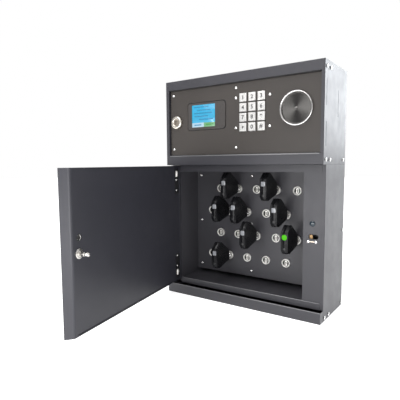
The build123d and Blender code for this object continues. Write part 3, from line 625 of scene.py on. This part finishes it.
# ======== service panel pieces
PANEL_LOW, PANEL_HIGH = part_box("panel_plate")
PANEL_FACE = PANEL_LOW.y
LEGEND_SIGNS = {"star": "*", "hash": "#"}
LEGEND_SIZE = 8.4 * MM
LEGEND_RISE = 0.02 * MM
LEGEND_THICK = 0.04 * MM
LEGEND_BOLD = 0.22 * MM  # how far each stroke is widened
SCREEN_X = (-87.4 * MM, -40.6 * MM)
SCREEN_Z = (294.3 * MM, 331.1 * MM)
SCREEN_WIDTH, SCREEN_HEIGHT = SCREEN_X[1] - SCREEN_X[0], SCREEN_Z[1] - SCREEN_Z[0]
SCREEN_MIDDLE = (sum(SCREEN_X) / 2, sum(SCREEN_Z) / 2)
SCREEN_CORNER = 0.6 * MM
SCREEN_DEPTH = 1.0 * MM  # from the border's face to the display's
SCREEN_THICK = 2.4 * MM
SOFT_KEYS_TOP = 301.6 * MM
SOFT_KEYS_SPLIT = -63.5 * MM
# where each line of the picture starts and ends, as parts of the screen's width
SCREEN_LINES = ((0.08, 0.72), (0.22, 0.80), (0.08, 0.86), (0.10, 0.70), (0.3, 0.9))
FIRST_LINE, LINE_PITCH = 3.6 * MM, 5.1 * MM  # down from the top
BORDER_FLANGE = 2.5 * MM  # what the panel hides of the border, all round
BORDER_GROOVE = 1.1 * MM  # the gap round the raised border
BORDER_CORNERS = (3.4 * MM, 7 * MM)  # corner radii, left and right
READER_FACE = 1.0 * MM  # the disc lies deep in its ring
READER_RINGS = 24
LOCK_BORE = 5.7 * MM
LOCK_THREAD = 8 * MM
LOCK_TURNS = 14
NUT_REACH = 12.5 * MM  # from the axis to a corner
PANEL_THICK = 1.5 * MM


def make_legends():
    """The sign printed on each keypad key."""
    upright = Matrix.Rotation(math.pi / 2, 4, "X")
    for node in sorted(frame["nodes"]):
        if not node.startswith("keypad_key_"):
            continue
        sign = node.removeprefix("keypad_key_")
        curve = bpy.data.curves.new("legend", "FONT")
        curve.body = LEGEND_SIGNS.get(sign, sign)
        curve.size = LEGEND_SIZE
        curve.extrude = LEGEND_THICK
        curve.offset = LEGEND_BOLD
        text = bpy.data.objects.new("legend", curve)
        bpy.context.scene.collection.objects.link(text)
        view = bpy.context.evaluated_depsgraph_get()
        data = bpy.data.meshes.new_from_object(text.evaluated_get(view))
        bpy.data.objects.remove(text)
        mesh = bmesh.new()
        mesh.from_mesh(data)
        bmesh.ops.remove_doubles(mesh, verts=mesh.verts, dist=0.002 * MM)
        bmesh.ops.transform(mesh, matrix=upright, verts=mesh.verts)
        low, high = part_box(node)
        places = [vertex.co for vertex in mesh.verts]
        middle_x = (min(p.x for p in places) + max(p.x for p in places)) / 2
        middle_z = (min(p.z for p in places) + max(p.z for p in places)) / 2
        # the wide flange behind the cap is centred on it, so the box's middle is the cap's
        target = Vector(((low.x + high.x) / 2, low.y - LEGEND_RISE, (low.z + high.z) / 2))
        bmesh.ops.translate(mesh, vec=target - Vector((middle_x, 0, middle_z)), verts=mesh.verts)
        finish_mesh(mesh, f"legend_{sign}", "ink", node)


def corner_outline(corners):
    """Points of a polygon whose corners are rounded; each corner is (x, y, radius)."""
    points = []
    count = len(corners)
    for number, (x, y, radius) in enumerate(corners):
        here = Vector((x, y))
        before = (Vector(corners[number - 1][:2]) - here).normalized()
        after = (Vector(corners[(number + 1) % count][:2]) - here).normalized()
        half = before.angle(after) / 2
        centre = here + (before + after).normalized() * (radius / math.sin(half))
        reach = radius / math.tan(half)
        start, end = here + before * reach - centre, here + after * reach - centre
        sweep = start.angle_signed(end)
        for step in range(CORNER_STEPS + 1):
            points.append(tuple(centre + Matrix.Rotation(-sweep * step / CORNER_STEPS, 2) @ start))
    return points


def make_display():
    """A moulded border with a clear pane over a lit colour display."""
    low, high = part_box("display_window")
    left, right = low.x + BORDER_FLANGE, high.x - BORDER_FLANGE
    bottom, top = low.z + BORDER_FLANGE, high.z - BORDER_FLANGE
    middle = ((left + right) / 2, (bottom + top) / 2)
    half_w, half_h = (right - left) / 2 - BORDER_GROOVE, (top - bottom) / 2 - BORDER_GROOVE
    tight, wide = BORDER_CORNERS
    outer = corner_outline(
        [(-half_w, -half_h, tight), (half_w, -half_h, wide), (half_w, half_h, wide), (-half_w, half_h, tight)]
    )
    x, z = SCREEN_WIDTH / 2, SCREEN_HEIGHT / 2
    inner = corner_outline([(px, pz, SCREEN_CORNER) for px, pz in ((-x, -z), (x, -z), (x, z), (-x, z))])
    border = bmesh.new()
    front = low.y
    add_frame_plate(border, outer, inner, front, front + 2 * MM, *middle, *SCREEN_MIDDLE)
    rim = [edge for edge in border.edges if all(abs(v.co.y - front) < 1e-6 for v in edge.verts)]
    rim = [edge for edge in rim if len({face.normal.y < -0.9 for face in edge.link_faces}) == 2]
    bevel_edges(border, rim, 0.3 * MM, 3)
    plate = rounded_outline(high.x - low.x, high.z - low.z, 6 * MM)
    opening = rounded_outline(SCREEN_WIDTH, SCREEN_HEIGHT, SCREEN_CORNER)
    backing = bmesh.new()
    add_frame_plate(backing, plate, opening, front + 2.05 * MM, high.y, *middle, *SCREEN_MIDDLE)
    finish_mesh(backing, "window_backing", "black_plastic", "service_panel")
    finish_mesh(border, "window_border", "window", "service_panel", 35, ("display_window",))
    pane = bmesh.new()
    pane_outline = rounded_outline(SCREEN_WIDTH - 0.1 * MM, SCREEN_HEIGHT - 0.1 * MM, SCREEN_CORNER)
    add_prism(pane, pane_outline, front + 0.25 * MM, front + 0.85 * MM, *SCREEN_MIDDLE)
    finish_mesh(pane, "window_pane", "glass", "service_panel")
    make_picture(front + SCREEN_DEPTH)


def make_picture(face):
    """The display's picture: a blue field with lines, over two soft keys."""
    back = face + SCREEN_THICK
    field = bmesh.new()
    add_block(field, (SCREEN_X[0], face, SOFT_KEYS_TOP), (SCREEN_X[1], back, SCREEN_Z[1]), 0.05 * MM)
    finish_mesh(field, "screen_field", "screen_blue", "service_panel")
    lines = bmesh.new()
    for number, (start, end) in enumerate(SCREEN_LINES):
        z = SCREEN_Z[1] - FIRST_LINE - LINE_PITCH * number
        x0, x1 = SCREEN_X[0] + SCREEN_WIDTH * start, SCREEN_X[0] + SCREEN_WIDTH * end
        add_mark(lines, x0, x1, face, z, 0.9 * MM)
    finish_mesh(lines, "screen_lines", "screen_dark", "service_panel")
    for name, x0, x1, colour, mark_colour in (
        ("left", SCREEN_X[0], SOFT_KEYS_SPLIT, "screen_white", "screen_dark"),
        ("right", SOFT_KEYS_SPLIT, SCREEN_X[1], "screen_green", "screen_leaf"),
    ):
        soft_key = bmesh.new()
        top = SOFT_KEYS_TOP - 0.05 * MM
        add_block(soft_key, (x0, face, SCREEN_Z[0]), (x1, back, top), 0.05 * MM)
        finish_mesh(soft_key, f"screen_{name}_field", colour, "service_panel")
        mark = bmesh.new()
        inset = (x1 - x0) * 0.2
        add_mark(mark, x0 + inset, x1 - inset, face, (SCREEN_Z[0] + SOFT_KEYS_TOP) / 2, 0.8 * MM)
        finish_mesh(mark, f"screen_{name}_mark", mark_colour, "service_panel")


def add_mark(mesh, start, end, face, z, half):
    """A line of the picture, a hair above it."""
    add_block(mesh, (start, face - 0.06 * MM, z - half), (end, face + 0.1 * MM, z + half), 0.02 * MM)


def make_reader():
    """A spun metal disc with fine turned rings, in a polished ring."""
    low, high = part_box("reader_disc")
    radius, middle = (high.x - low.x) / 2, (low + high) / 2
    seat = (middle.x, PANEL_FACE, middle.z)
    face = READER_FACE
    profile = [(0, -9 * MM), (17.8 * MM, -9 * MM), (17.8 * MM, 0), (radius, 0), (radius, face * 0.85)]
    for ring in range(READER_RINGS):
        out = radius - 0.4 * MM - (radius - 2.6 * MM) * ring / READER_RINGS
        pitch = (radius - 2.6 * MM) / READER_RINGS
        profile += [(out, face), (out - pitch * 0.5, face - 0.05 * MM)]
    profile += [(1.9 * MM, face), (1.2 * MM, face - 0.5 * MM), (0, face - 0.7 * MM)]
    disc = bmesh.new()
    add_lathe(disc, profile, seat, TOWARDS_USER, 96)
    finish_mesh(disc, "reader_face", "reader", "service_panel", 50, ("reader_disc",))
    low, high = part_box("reader_ring")
    radius, rise = (high.x - low.x) / 2, PANEL_FACE - low.y
    inner = radius - 3 * MM
    profile = [(inner, 0), (inner, 1.2 * MM), (inner + 0.35 * MM, 2.6 * MM), (inner + 0.95 * MM, 3.7 * MM)]
    for step in range(7):
        angle = math.pi * (0.75 - 0.75 * step / 6)
        profile.append((radius - 1.0 * MM + math.cos(angle) * MM, rise - 1.0 * MM + math.sin(angle) * MM))
    profile += [(radius, 0), (inner, 0)]
    ring = bmesh.new()
    add_lathe(ring, profile, seat, TOWARDS_USER, 96)
    finish_mesh(ring, "reader_bezel", "bezel_steel", "service_panel", 50, ("reader_ring",))


def make_lock():
    """The cam lock's polished head around its plug, with a hexagonal nut behind the panel."""
    low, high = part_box("lock_body")
    radius, middle = (high.x - low.x) / 2, (low + high) / 2
    seat = (middle.x, PANEL_FACE, middle.z)
    rise, tail = PANEL_FACE - low.y, high.y - PANEL_FACE
    profile = [(LOCK_BORE, -tail), (LOCK_BORE, rise - 0.7 * MM)]
    profile += [(LOCK_BORE + 0.5 * MM, rise - 0.2 * MM), (LOCK_BORE + 1.2 * MM, rise)]
    profile += [(radius - 2.2 * MM, rise - 0.15 * MM)]
    for step in range(1, 6):
        angle = math.pi / 2 * (1 - step / 5)
        out, up = 2 * MM * math.cos(angle), 2 * MM * math.sin(angle)
        profile.append((radius - 2 * MM + out, rise - 2.2 * MM + up))
    profile += [(radius, 0), (LOCK_THREAD, 0)]
    for turn in range(LOCK_TURNS):
        z = (-1.7 - turn) * MM
        profile += [(LOCK_THREAD, z), (LOCK_THREAD - 0.4 * MM, z - 0.5 * MM)]
    profile += [(LOCK_THREAD, -tail), (LOCK_BORE, -tail)]
    head = bmesh.new()
    add_lathe(head, profile, seat, TOWARDS_USER, 64)
    back = PANEL_FACE + PANEL_THICK
    corners = [Matrix.Rotation(TAU * k / 6, 2) @ Vector((NUT_REACH, 0)) for k in range(6)]
    nut_outer, nut_inner = [], []
    for k in range(12):
        one, two = corners[k // 2], corners[(k // 2 + 1) % 6]
        nut_outer.append(tuple(one.lerp(two, 0.5 * (k % 2))))
        nut_inner.append(tuple(Matrix.Rotation(TAU * k / 12, 2) @ Vector((LOCK_THREAD + 0.05 * MM, 0))))
    place = (middle.x, middle.z)
    add_frame_plate(head, nut_outer, nut_inner, back, back + 3.5 * MM, *place, *place)
    finish_mesh(head, "lock_head", "lock_nickel", "service_panel", 40, ("lock_body",))


# ======== compartment pieces
# the bow's corners: depth behind the front plane, height over the port's axis, rounding, in mm
BOW_OUTLINE = [(18, -16.5, 6), (58, -5, 2.5), (58, 12.5, 9), (30.5, 31.5, 4), (18, 20, 6)]
BOW_DROP = 14.5 * MM  # from the port's axis down to the key's lowest point
NOSE_START = 57.0 * MM
NOSE_END = 66.4 * MM
RIDGE_START, RIDGE_PITCH = 58.0 * MM, 2.1 * MM
KEY_LIT = "smart_key_7"
LAMP_LIT = (8.6 * MM, 8.8 * MM, 4.2 * MM)  # width, height and corner radius
LAMP_OFF = (7.4 * MM, 7.8 * MM, 1.4 * MM)
LAMP_RISE = 12.5 * MM
LENS_STEPS = ((0, 0.9), (0.25, 0.35), (0.8, 0.08), (1.8, 0))  # inset and depth, in mm
JAMB_FACE = FRONT + 13.2 * MM
GUIDE_LOW, GUIDE_HIGH = (117.9 * MM, 122.0 * MM), (123.2 * MM, 127.9 * MM)  # x and z
STRAP_MIDDLE = (122.1 * MM, 117.6 * MM)
SENSOR_STEM = 3.45 * MM


def make_port_cores():
    """The contact core of each port: a slotted metal face in a dark insulating ring."""
    width, height, corner = KEYWAY
    slot = rounded_outline(width, height, corner, 7)
    slot = slot[4:] + slot[:4]
    circle = [tuple(Vector(point).normalized() * CORE_RADIUS) for point in slot]
    core, insulator = bmesh.new(), bmesh.new()
    for low, high in loose_boxes("port_cores"):
        middle = (low + high) / 2
        front = low.y
        place = (middle.x, middle.z)
        add_frame_plate(core, circle, slot, front + 0.2 * MM, front + 5 * MM, *place, *place)
        inner, outer = CORE_RADIUS + 0.05 * MM, (high.x - low.x) / 2 - 0.05 * MM
        profile = [(inner, 0.5 * MM), (outer, 0.5 * MM), (outer, high.y - front)]
        profile += [(0, high.y - front), (0, 4.5 * MM), (inner, 4.5 * MM), (inner, 0.5 * MM)]
        add_lathe(insulator, profile, (middle.x, front, middle.z), TOWARDS_WALL, 40)
    finish_mesh(core, "port_contact_cores", "port_nickel", "cabinet", 40, ("port_cores",))
    finish_mesh(insulator, "port_insulators", "black_plastic", "cabinet", 40)


def add_lens(mesh, width, height, corner, front, back, x, z):
    """A moulded window: a rounded plate whose face is domed in steps."""
    rings = []
    for inset, y in [(0, back)] + [(inset, front + depth * MM) for inset, depth in LENS_STEPS]:
        shrink = 2 * inset * MM
        outline = rounded_outline(width - shrink, height - shrink, max(corner - inset * MM, 0.3 * MM))
        rings.append(add_ring(mesh, outline, x, y, z))
    for one, two in zip(rings, rings[1:]):
        join_rings(mesh, one, two)
    mesh.faces.new(rings[0])
    mesh.faces.new(list(reversed(rings[-1])))


def bow_shell(outline, x, z, inner, outer):
    """One half of a key's bow, between two offsets from its middle plane."""
    shell = bmesh.new()
    rings = []
    for place in (inner, outer):
        rings.append([shell.verts.new((x + place, FRONT + py, z + pz)) for py, pz in outline])
    shell.faces.new(rings[0])
    cap = shell.faces.new(list(reversed(rings[1])))
    join_rings(shell, *rings)
    seam = [edge for edge in shell.edges if all(vertex in rings[0] for vertex in edge.verts)]
    bevel_edges(shell, list(cap.edges), 2.4 * MM, 5)
    seam = [edge for edge in seam if edge.is_valid]
    bevel_edges(shell, seam, 0.25 * MM, 1)
    return shell


def make_smart_keys():
    """Moulded bows in two shells, with a light window, a ridged metal nose and a blade."""
    outline = corner_outline([(y * MM, z * MM, r * MM) for y, z, r in BOW_OUTLINE])
    for node in sorted(frame["nodes"]):
        if not node.startswith("smart_key_"):
            continue
        low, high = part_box(node)
        x, z = (low.x + high.x) / 2, low.z + BOW_DROP
        half = (high.x - low.x) / 2
        front = low.y
        bow = bmesh.new()
        for side in (-1, 1):
            add_mesh(bow, bow_shell(outline, x, z, side * 0.1 * MM, side * half))
        finish_mesh(bow, f"{node}_bow", "key_gloss", node, 50, (node,))
        nose = bmesh.new()
        profile = [(0, NOSE_START), (4.9 * MM, NOSE_START)]
        for ridge in range(4):
            start = RIDGE_START + ridge * RIDGE_PITCH
            profile += [(5.3 * MM, start), (5.3 * MM, start + 1.4 * MM), (4.8 * MM, start + 1.6 * MM)]
        profile += [(4.8 * MM, NOSE_END), (0, NOSE_END)]
        add_lathe(nose, profile, (x, FRONT, z), TOWARDS_WALL, 40)
        blade_low = (x - 0.9 * MM, FRONT + 66 * MM, z - 2.7 * MM)
        add_block(nose, blade_low, (x + 0.9 * MM, FRONT + 72.4 * MM, z + 2.7 * MM), 0.3 * MM)
        finish_mesh(nose, f"{node}_nose", "chrome", node, 40)
        lamp = bmesh.new()
        lit = node == KEY_LIT
        add_lens(lamp, *(LAMP_LIT if lit else LAMP_OFF), front - 0.5 * MM, front + 2.6 * MM, x, z + LAMP_RISE)
        finish_mesh(lamp, f"{node}_light", "led_green" if lit else "led_off", node)
        contact = bmesh.new()
        contact_low = (x - 1.9 * MM, front - 0.1 * MM, z - 7.6 * MM)
        add_block(contact, contact_low, (x + 1.9 * MM, front + 1.5 * MM, z - 4.2 * MM), 0.35 * MM)
        finish_mesh(contact, f"{node}_contact", "chip", node)


def make_latch_details():
    """The brass guide in the latch mouth, the strap under its screws, and the sensor's lens."""
    guide = bmesh.new()
    face = JAMB_FACE - 0.1 * MM
    guide_low = (GUIDE_LOW[0], face, GUIDE_LOW[1])
    add_block(guide, guide_low, (GUIDE_HIGH[0], JAMB_FACE + 3 * MM, GUIDE_HIGH[1]), 0.7 * MM, 3)
    boss = [(0, -0.5 * MM), (1.5 * MM, -0.5 * MM), (1.5 * MM, 0.3 * MM), (1.1 * MM, 0.6 * MM), (0, 0.6 * MM)]
    add_lathe(guide, boss, (120.4 * MM, face, 125 * MM), TOWARDS_USER, 24)
    finish_mesh(guide, "latch_guide", "brass", "cabinet")
    strap = bmesh.new()
    outline = rounded_outline(12.0 * MM, 1.3 * MM, 0.6 * MM)
    add_prism(strap, outline, JAMB_FACE - 0.5 * MM, JAMB_FACE, *STRAP_MIDDLE)
    finish_mesh(strap, "latch_strap", "plug_nickel", "cabinet")
    low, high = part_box("door_sensor")
    middle = (low + high) / 2
    radius = (high.x - low.x) / 2
    tail = high.y - JAMB_FACE
    profile = [(0, -tail), (SENSOR_STEM, -tail), (SENSOR_STEM, 0), (radius, 0), (radius, 0.5 * MM)]
    for step in range(1, 7):
        angle = math.pi / 2 * step / 6
        profile.append((radius * math.cos(angle) * 0.96, (0.5 + 1.2 * math.sin(angle)) * MM))
    lens = bmesh.new()
    add_lathe(lens, profile, (middle.x, JAMB_FACE, middle.z), TOWARDS_USER, 40)
    finish_mesh(lens, "sensor_lens", "dark_gloss", "cabinet", 60, ("door_sensor",))


# ======== door pieces
def joint(name):
    """A joint of the record, by name."""
    return next(entry for entry in frame["record"]["behaviour"]["joints"] if entry["name"] == name)


DOOR_TURN = Matrix.Rotation(math.radians(joint("door_hinge")["range_deg"][0]), 3, "Z")
DOOR_PIVOT = Vector(joint("door_hinge")["pos_m"])
DOOR_INSIDE = DOOR_TURN @ TOWARDS_WALL  # the way the inner cover faces with the door open
# on the closed door: x, depth behind the front plane and z, in mm
PEG_SEAT = (126.6, 10.5, 124.8)
MAGNET_SEAT = (125.5, 10.5, 144.4)
HINGE_SCREW_X, HINGE_SCREW_DEPTH = -128.8, 10.7
HINGE_HEAD = (1.9 * MM, 1.2 * MM)  # radius and height
# radius and height in mm
PEG_PROFILE = (
    (0, -0.2), (6.4, -0.2), (6.4, 0.9), (6.0, 1.2), (3.9, 1.2), (3.9, 1.5), (3.4, 1.8), (2.7, 1.9),
    (2.7, 8.5), (2.0, 9.3), (2.0, 10.7), (2.7, 11.5), (2.7, 14.6), (2.2, 15.5), (1.4, 16), (0, 16),
)
CUP_PROFILE = ((0, -6), (4.6, -6), (4.6, 0.1), (4.4, 0.3), (4.1, 0.3), (3.9, 0), (3.8, -2.6), (0, -2.6))
MAGNET_PROFILE = ((3.1, -2.6), (3.75, -2.6), (3.75, -0.5), (3.45, -0.3), (3.1, -0.6), (3.1, -2.6))
BARREL_PROFILE = (
    (0, -5.5), (1.6, -5.4), (2.6, -5.0), (3.2, -4.2), (3.4, -3.2), (3.4, -0.2), (3.3, -0.1),
    (3.3, 0.1), (3.4, 0.2), (3.4, 3.2), (3.2, 4.2), (2.6, 5.0), (1.6, 5.4), (0, 5.5),
)


def on_door(x, depth, z):
    """A place on the open door, given by its place on the closed door in millimetres."""
    closed = Vector((x * MM, FRONT + depth * MM, z * MM))
    pivot = Vector((DOOR_PIVOT.x, DOOR_PIVOT.y, 0))
    return pivot + DOOR_TURN @ (closed - pivot)


def in_metres(profile):
    """A profile given in millimetres, in metres."""
    return [(radius * MM, height * MM) for radius, height in profile]


def make_door_details():
    """The grooved peg, the magnet, the hinge screws and the spring barrels, on the open door."""
    peg = bmesh.new()
    add_lathe(peg, in_metres(PEG_PROFILE), on_door(*PEG_SEAT), DOOR_INSIDE, 40)
    finish_mesh(peg, "door_peg", "peg_steel", "door", 40, ("latch_peg",))
    cup = bmesh.new()
    add_lathe(cup, in_metres(CUP_PROFILE), on_door(*MAGNET_SEAT), DOOR_INSIDE, 40)
    finish_mesh(cup, "magnet_cup", "black_plastic", "door", 40, ("door_magnet",))
    magnet = bmesh.new()
    add_lathe(magnet, in_metres(MAGNET_PROFILE), on_door(*MAGNET_SEAT), DOOR_INSIDE, 32)
    finish_mesh(magnet, "magnet_ring", "bezel_steel", "door", 40)
    screws = bmesh.new()
    template = screw_template(*HINGE_HEAD)
    for number, (low, high) in enumerate(loose_boxes("hinge_screws")):
        seat = on_door(HINGE_SCREW_X, HINGE_SCREW_DEPTH, (low.z + high.z) / 2 / MM)
        add_screw(screws, template, seat, DOOR_INSIDE, 0.7 * number)
    finish_mesh(screws, "hinge_screw_heads", "screw", "door", 40, ("hinge_screws",))
    barrels = bmesh.new()
    for low, high in loose_boxes("spring_barrels"):
        add_lathe(barrels, in_metres(BARREL_PROFILE), (low + high) / 2, (0, 0, 1), 40)
    finish_mesh(barrels, "hinge_barrels", "port_nickel", "door", 40, ("spring_barrels",))


# ======== electronics behind the panel
BOARD_THICK = 1.6 * MM
# x, z, width, height and rise, in mm
CHIPS = (
    (-20, 290, 26, 26, 2.5),
    (14, 296, 10, 16, 2.0),
    (14, 322, 12, 8, 1.6),
    (-18, 330, 14, 10, 1.6),
    (-10, 262, 18, 8, 2.2),
    (28, 300, 8, 8, 1.2),
)
# the rows of legs on both sides of the large chip
LEGS_MIDDLE, LEGS_REACH = -7 * MM, 14 * MM
LEG_COUNT, LEG_START, LEG_PITCH = 16, 291.5 * MM, 1.55 * MM
CAPACITORS = ((46, 320, 6, 16), (58, 330, 4, 10), (58, 314, 4, 10), (48, 296, 3, 7))  # x, z, radius, rise
PLUGS = ((30, 262, 30, 12, 11), (-38, 300, 12, 40, 12), (-30, 262, 14, 9, 9))


def make_main_board():
    """The main board with its chips, small parts, capacitors and plugs."""
    low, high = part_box("main_board")
    face = high.y - BOARD_THICK
    board = bmesh.new()
    add_block(board, (low.x, face, low.z), high, 0.2 * MM)
    finish_mesh(board, "main_board_plate", "board", "cabinet", 35, ("main_board",))
    chips = bmesh.new()
    for x, z, width, height, rise in CHIPS:
        chip_low = (x * MM, face - rise * MM, z * MM)
        add_block(chips, chip_low, ((x + width) * MM, face, (z + height) * MM), 0.3 * MM)
    finish_mesh(chips, "board_chips", "chip", "cabinet")
    make_board_legs(face)
    cans = bmesh.new()
    for x, z, radius, rise in CAPACITORS:
        profile = [(0, 0), (radius, 0), (radius, 0.8), (radius - 0.4, 1.3), (radius, 1.8)]
        profile += [(radius, rise - 0.5), (radius - 0.5, rise), (radius - 1.2, rise - 0.3), (0, rise - 0.3)]
        add_lathe(cans, in_metres(profile), (x * MM, face, z * MM), TOWARDS_USER, 32)
    finish_mesh(cans, "board_capacitors", "inner_steel", "cabinet", 40)
    make_board_plugs(face)


def make_board_legs(face):
    """The large chip's legs and the small parts above it."""
    legs = bmesh.new()
    for side in (-1, 1):
        x = LEGS_MIDDLE + side * LEGS_REACH
        for step in range(LEG_COUNT):
            z = LEG_START + step * LEG_PITCH
            leg_low = (x - 1 * MM, face - 0.5 * MM, z - 0.3 * MM)
            add_block(legs, leg_low, (x + 1 * MM, face - 0.1 * MM, z + 0.3 * MM))
    for step in range(12):
        x = (16 + (step % 6) * 6.5) * MM
        z = (340 + (step // 6) * 5) * MM
        add_block(legs, (x, face - 0.8 * MM, z), (x + 3 * MM, face, z + 1.5 * MM), 0.15 * MM)
    finish_mesh(legs, "board_legs", "screw", "cabinet")


def make_board_plugs(face):
    """Plug housings with a row of pins along their longer side."""
    plugs = bmesh.new()
    pin_profile = [(0, 0), (0.9 * MM, 0), (0.9 * MM, 0.8 * MM), (0, 0.9 * MM)]
    for x, z, width, height, rise in PLUGS:
        top = face - rise * MM
        add_block(plugs, (x * MM, top, z * MM), ((x + width) * MM, face, (z + height) * MM), 0.6 * MM)
        length = max(width, height)
        pins = int(length / 4)
        for pin in range(pins):
            along = (pin + 0.5) * length / pins
            px, pz = (x + along, z + height / 2) if width > height else (x + width / 2, z + along)
            add_lathe(plugs, pin_profile, (px * MM, top, pz * MM), TOWARDS_USER, 12)
    finish_mesh(plugs, "board_plugs", "ivory", "cabinet")


# ======== the strip of painted shade, the hems and the grommet
# the gap between the panel and the black strip of painted shade above it
SHADE_STRIP_GAP = 0.25 * MM  # over the panel's top edge
LOWER_RAIL_TOP = 27.0 * MM
TRAY_RAIL_TOP = 16.9 * MM
TRAY_HALF_WIDTH = 140.4 * MM
# radius and height in mm
GROMMET_PROFILE = (
    (8, 0), (10.3, 0), (10.3, 1.2), (12.6, 1.3), (13, 1.9),
    (12.6, 3.1), (10, 3.2), (8.6, 3.1), (8, 2.4), (8, 0),
)


def make_shade_strip_and_hems():
    """The black strip over the panel, painted shade that darkens the gap under the top rail, and the rounded
    hems along the rails, whose lighter paint is a painted highlight.
    """
    # painted shade: a black rubber strip fills the gap under the top rail, where there is only the rail's
    # shadow
    seal = bmesh.new()
    bottom = PANEL_HIGH.z + SHADE_STRIP_GAP
    seal_low = (PANEL_LOW.x + 1 * MM, FRONT + 0.7 * MM, bottom)
    add_block(seal, seal_low, (PANEL_HIGH.x - 1 * MM, FRONT + 3.6 * MM, bottom + 1 * MM), 0.3 * MM)
    finish_mesh(seal, "panel_shade_strip", "rubber", "cabinet")
    # the folded edges are real geometry; their lighter paint is a painted highlight
    hems = bmesh.new()
    add_hem(hems, PANEL_LOW.x, PANEL_HIGH.x, FRONT + 0.6 * MM, PANEL_LOW.z - 1.0 * MM, 1.0 * MM)
    low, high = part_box("front_frame")
    add_hem(hems, low.x + 21 * MM, high.x - 0.5 * MM, FRONT + 12.6 * MM, LOWER_RAIL_TOP, 0.7 * MM)
    add_hem(hems, -TRAY_HALF_WIDTH, TRAY_HALF_WIDTH, FRONT + 0.6 * MM, TRAY_RAIL_TOP, 0.7 * MM)
    finish_mesh(hems, "rail_hems", "edge_paint", "cabinet", 60)


def add_hem(mesh, start, end, y, z, radius):
    """A thin rounded bar along X: the folded edge of a sheet."""
    profile = [(0, 0), (radius * 0.8, 0), (radius, radius * 0.3), (radius, end - start - radius * 0.3)]
    profile += [(radius * 0.8, end - start), (0, end - start)]
    add_lathe(mesh, profile, (start, y, z - radius * 0.6), (1, 0, 0), 16)


def make_grommet():
    """The rubber ring round the cable entry in the rear panel."""
    low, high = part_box("cable_grommet")
    middle = (low + high) / 2
    seal = bmesh.new()
    add_lathe(seal, in_metres(GROMMET_PROFILE), (middle.x, high.y, middle.z), TOWARDS_USER, 48)
    finish_mesh(seal, "grommet_seal", "rubber", "cabinet", 40, ("cable_grommet",))


def main():
    """Builds the stage, the materials and every piece."""
    make_camera()
    make_materials()
    make_stage()
    paint_cad()
    make_screws()
    make_side_screws()
    make_ports()
    make_port_cores()
    make_legends()
    make_display()
    make_reader()
    make_lock()
    make_smart_keys()
    make_latch_details()
    make_door_details()
    make_main_board()
    make_grommet()
    make_shade_strip_and_hems()


main()
bpy.context.scene.view_settings.view_transform = "Standard"
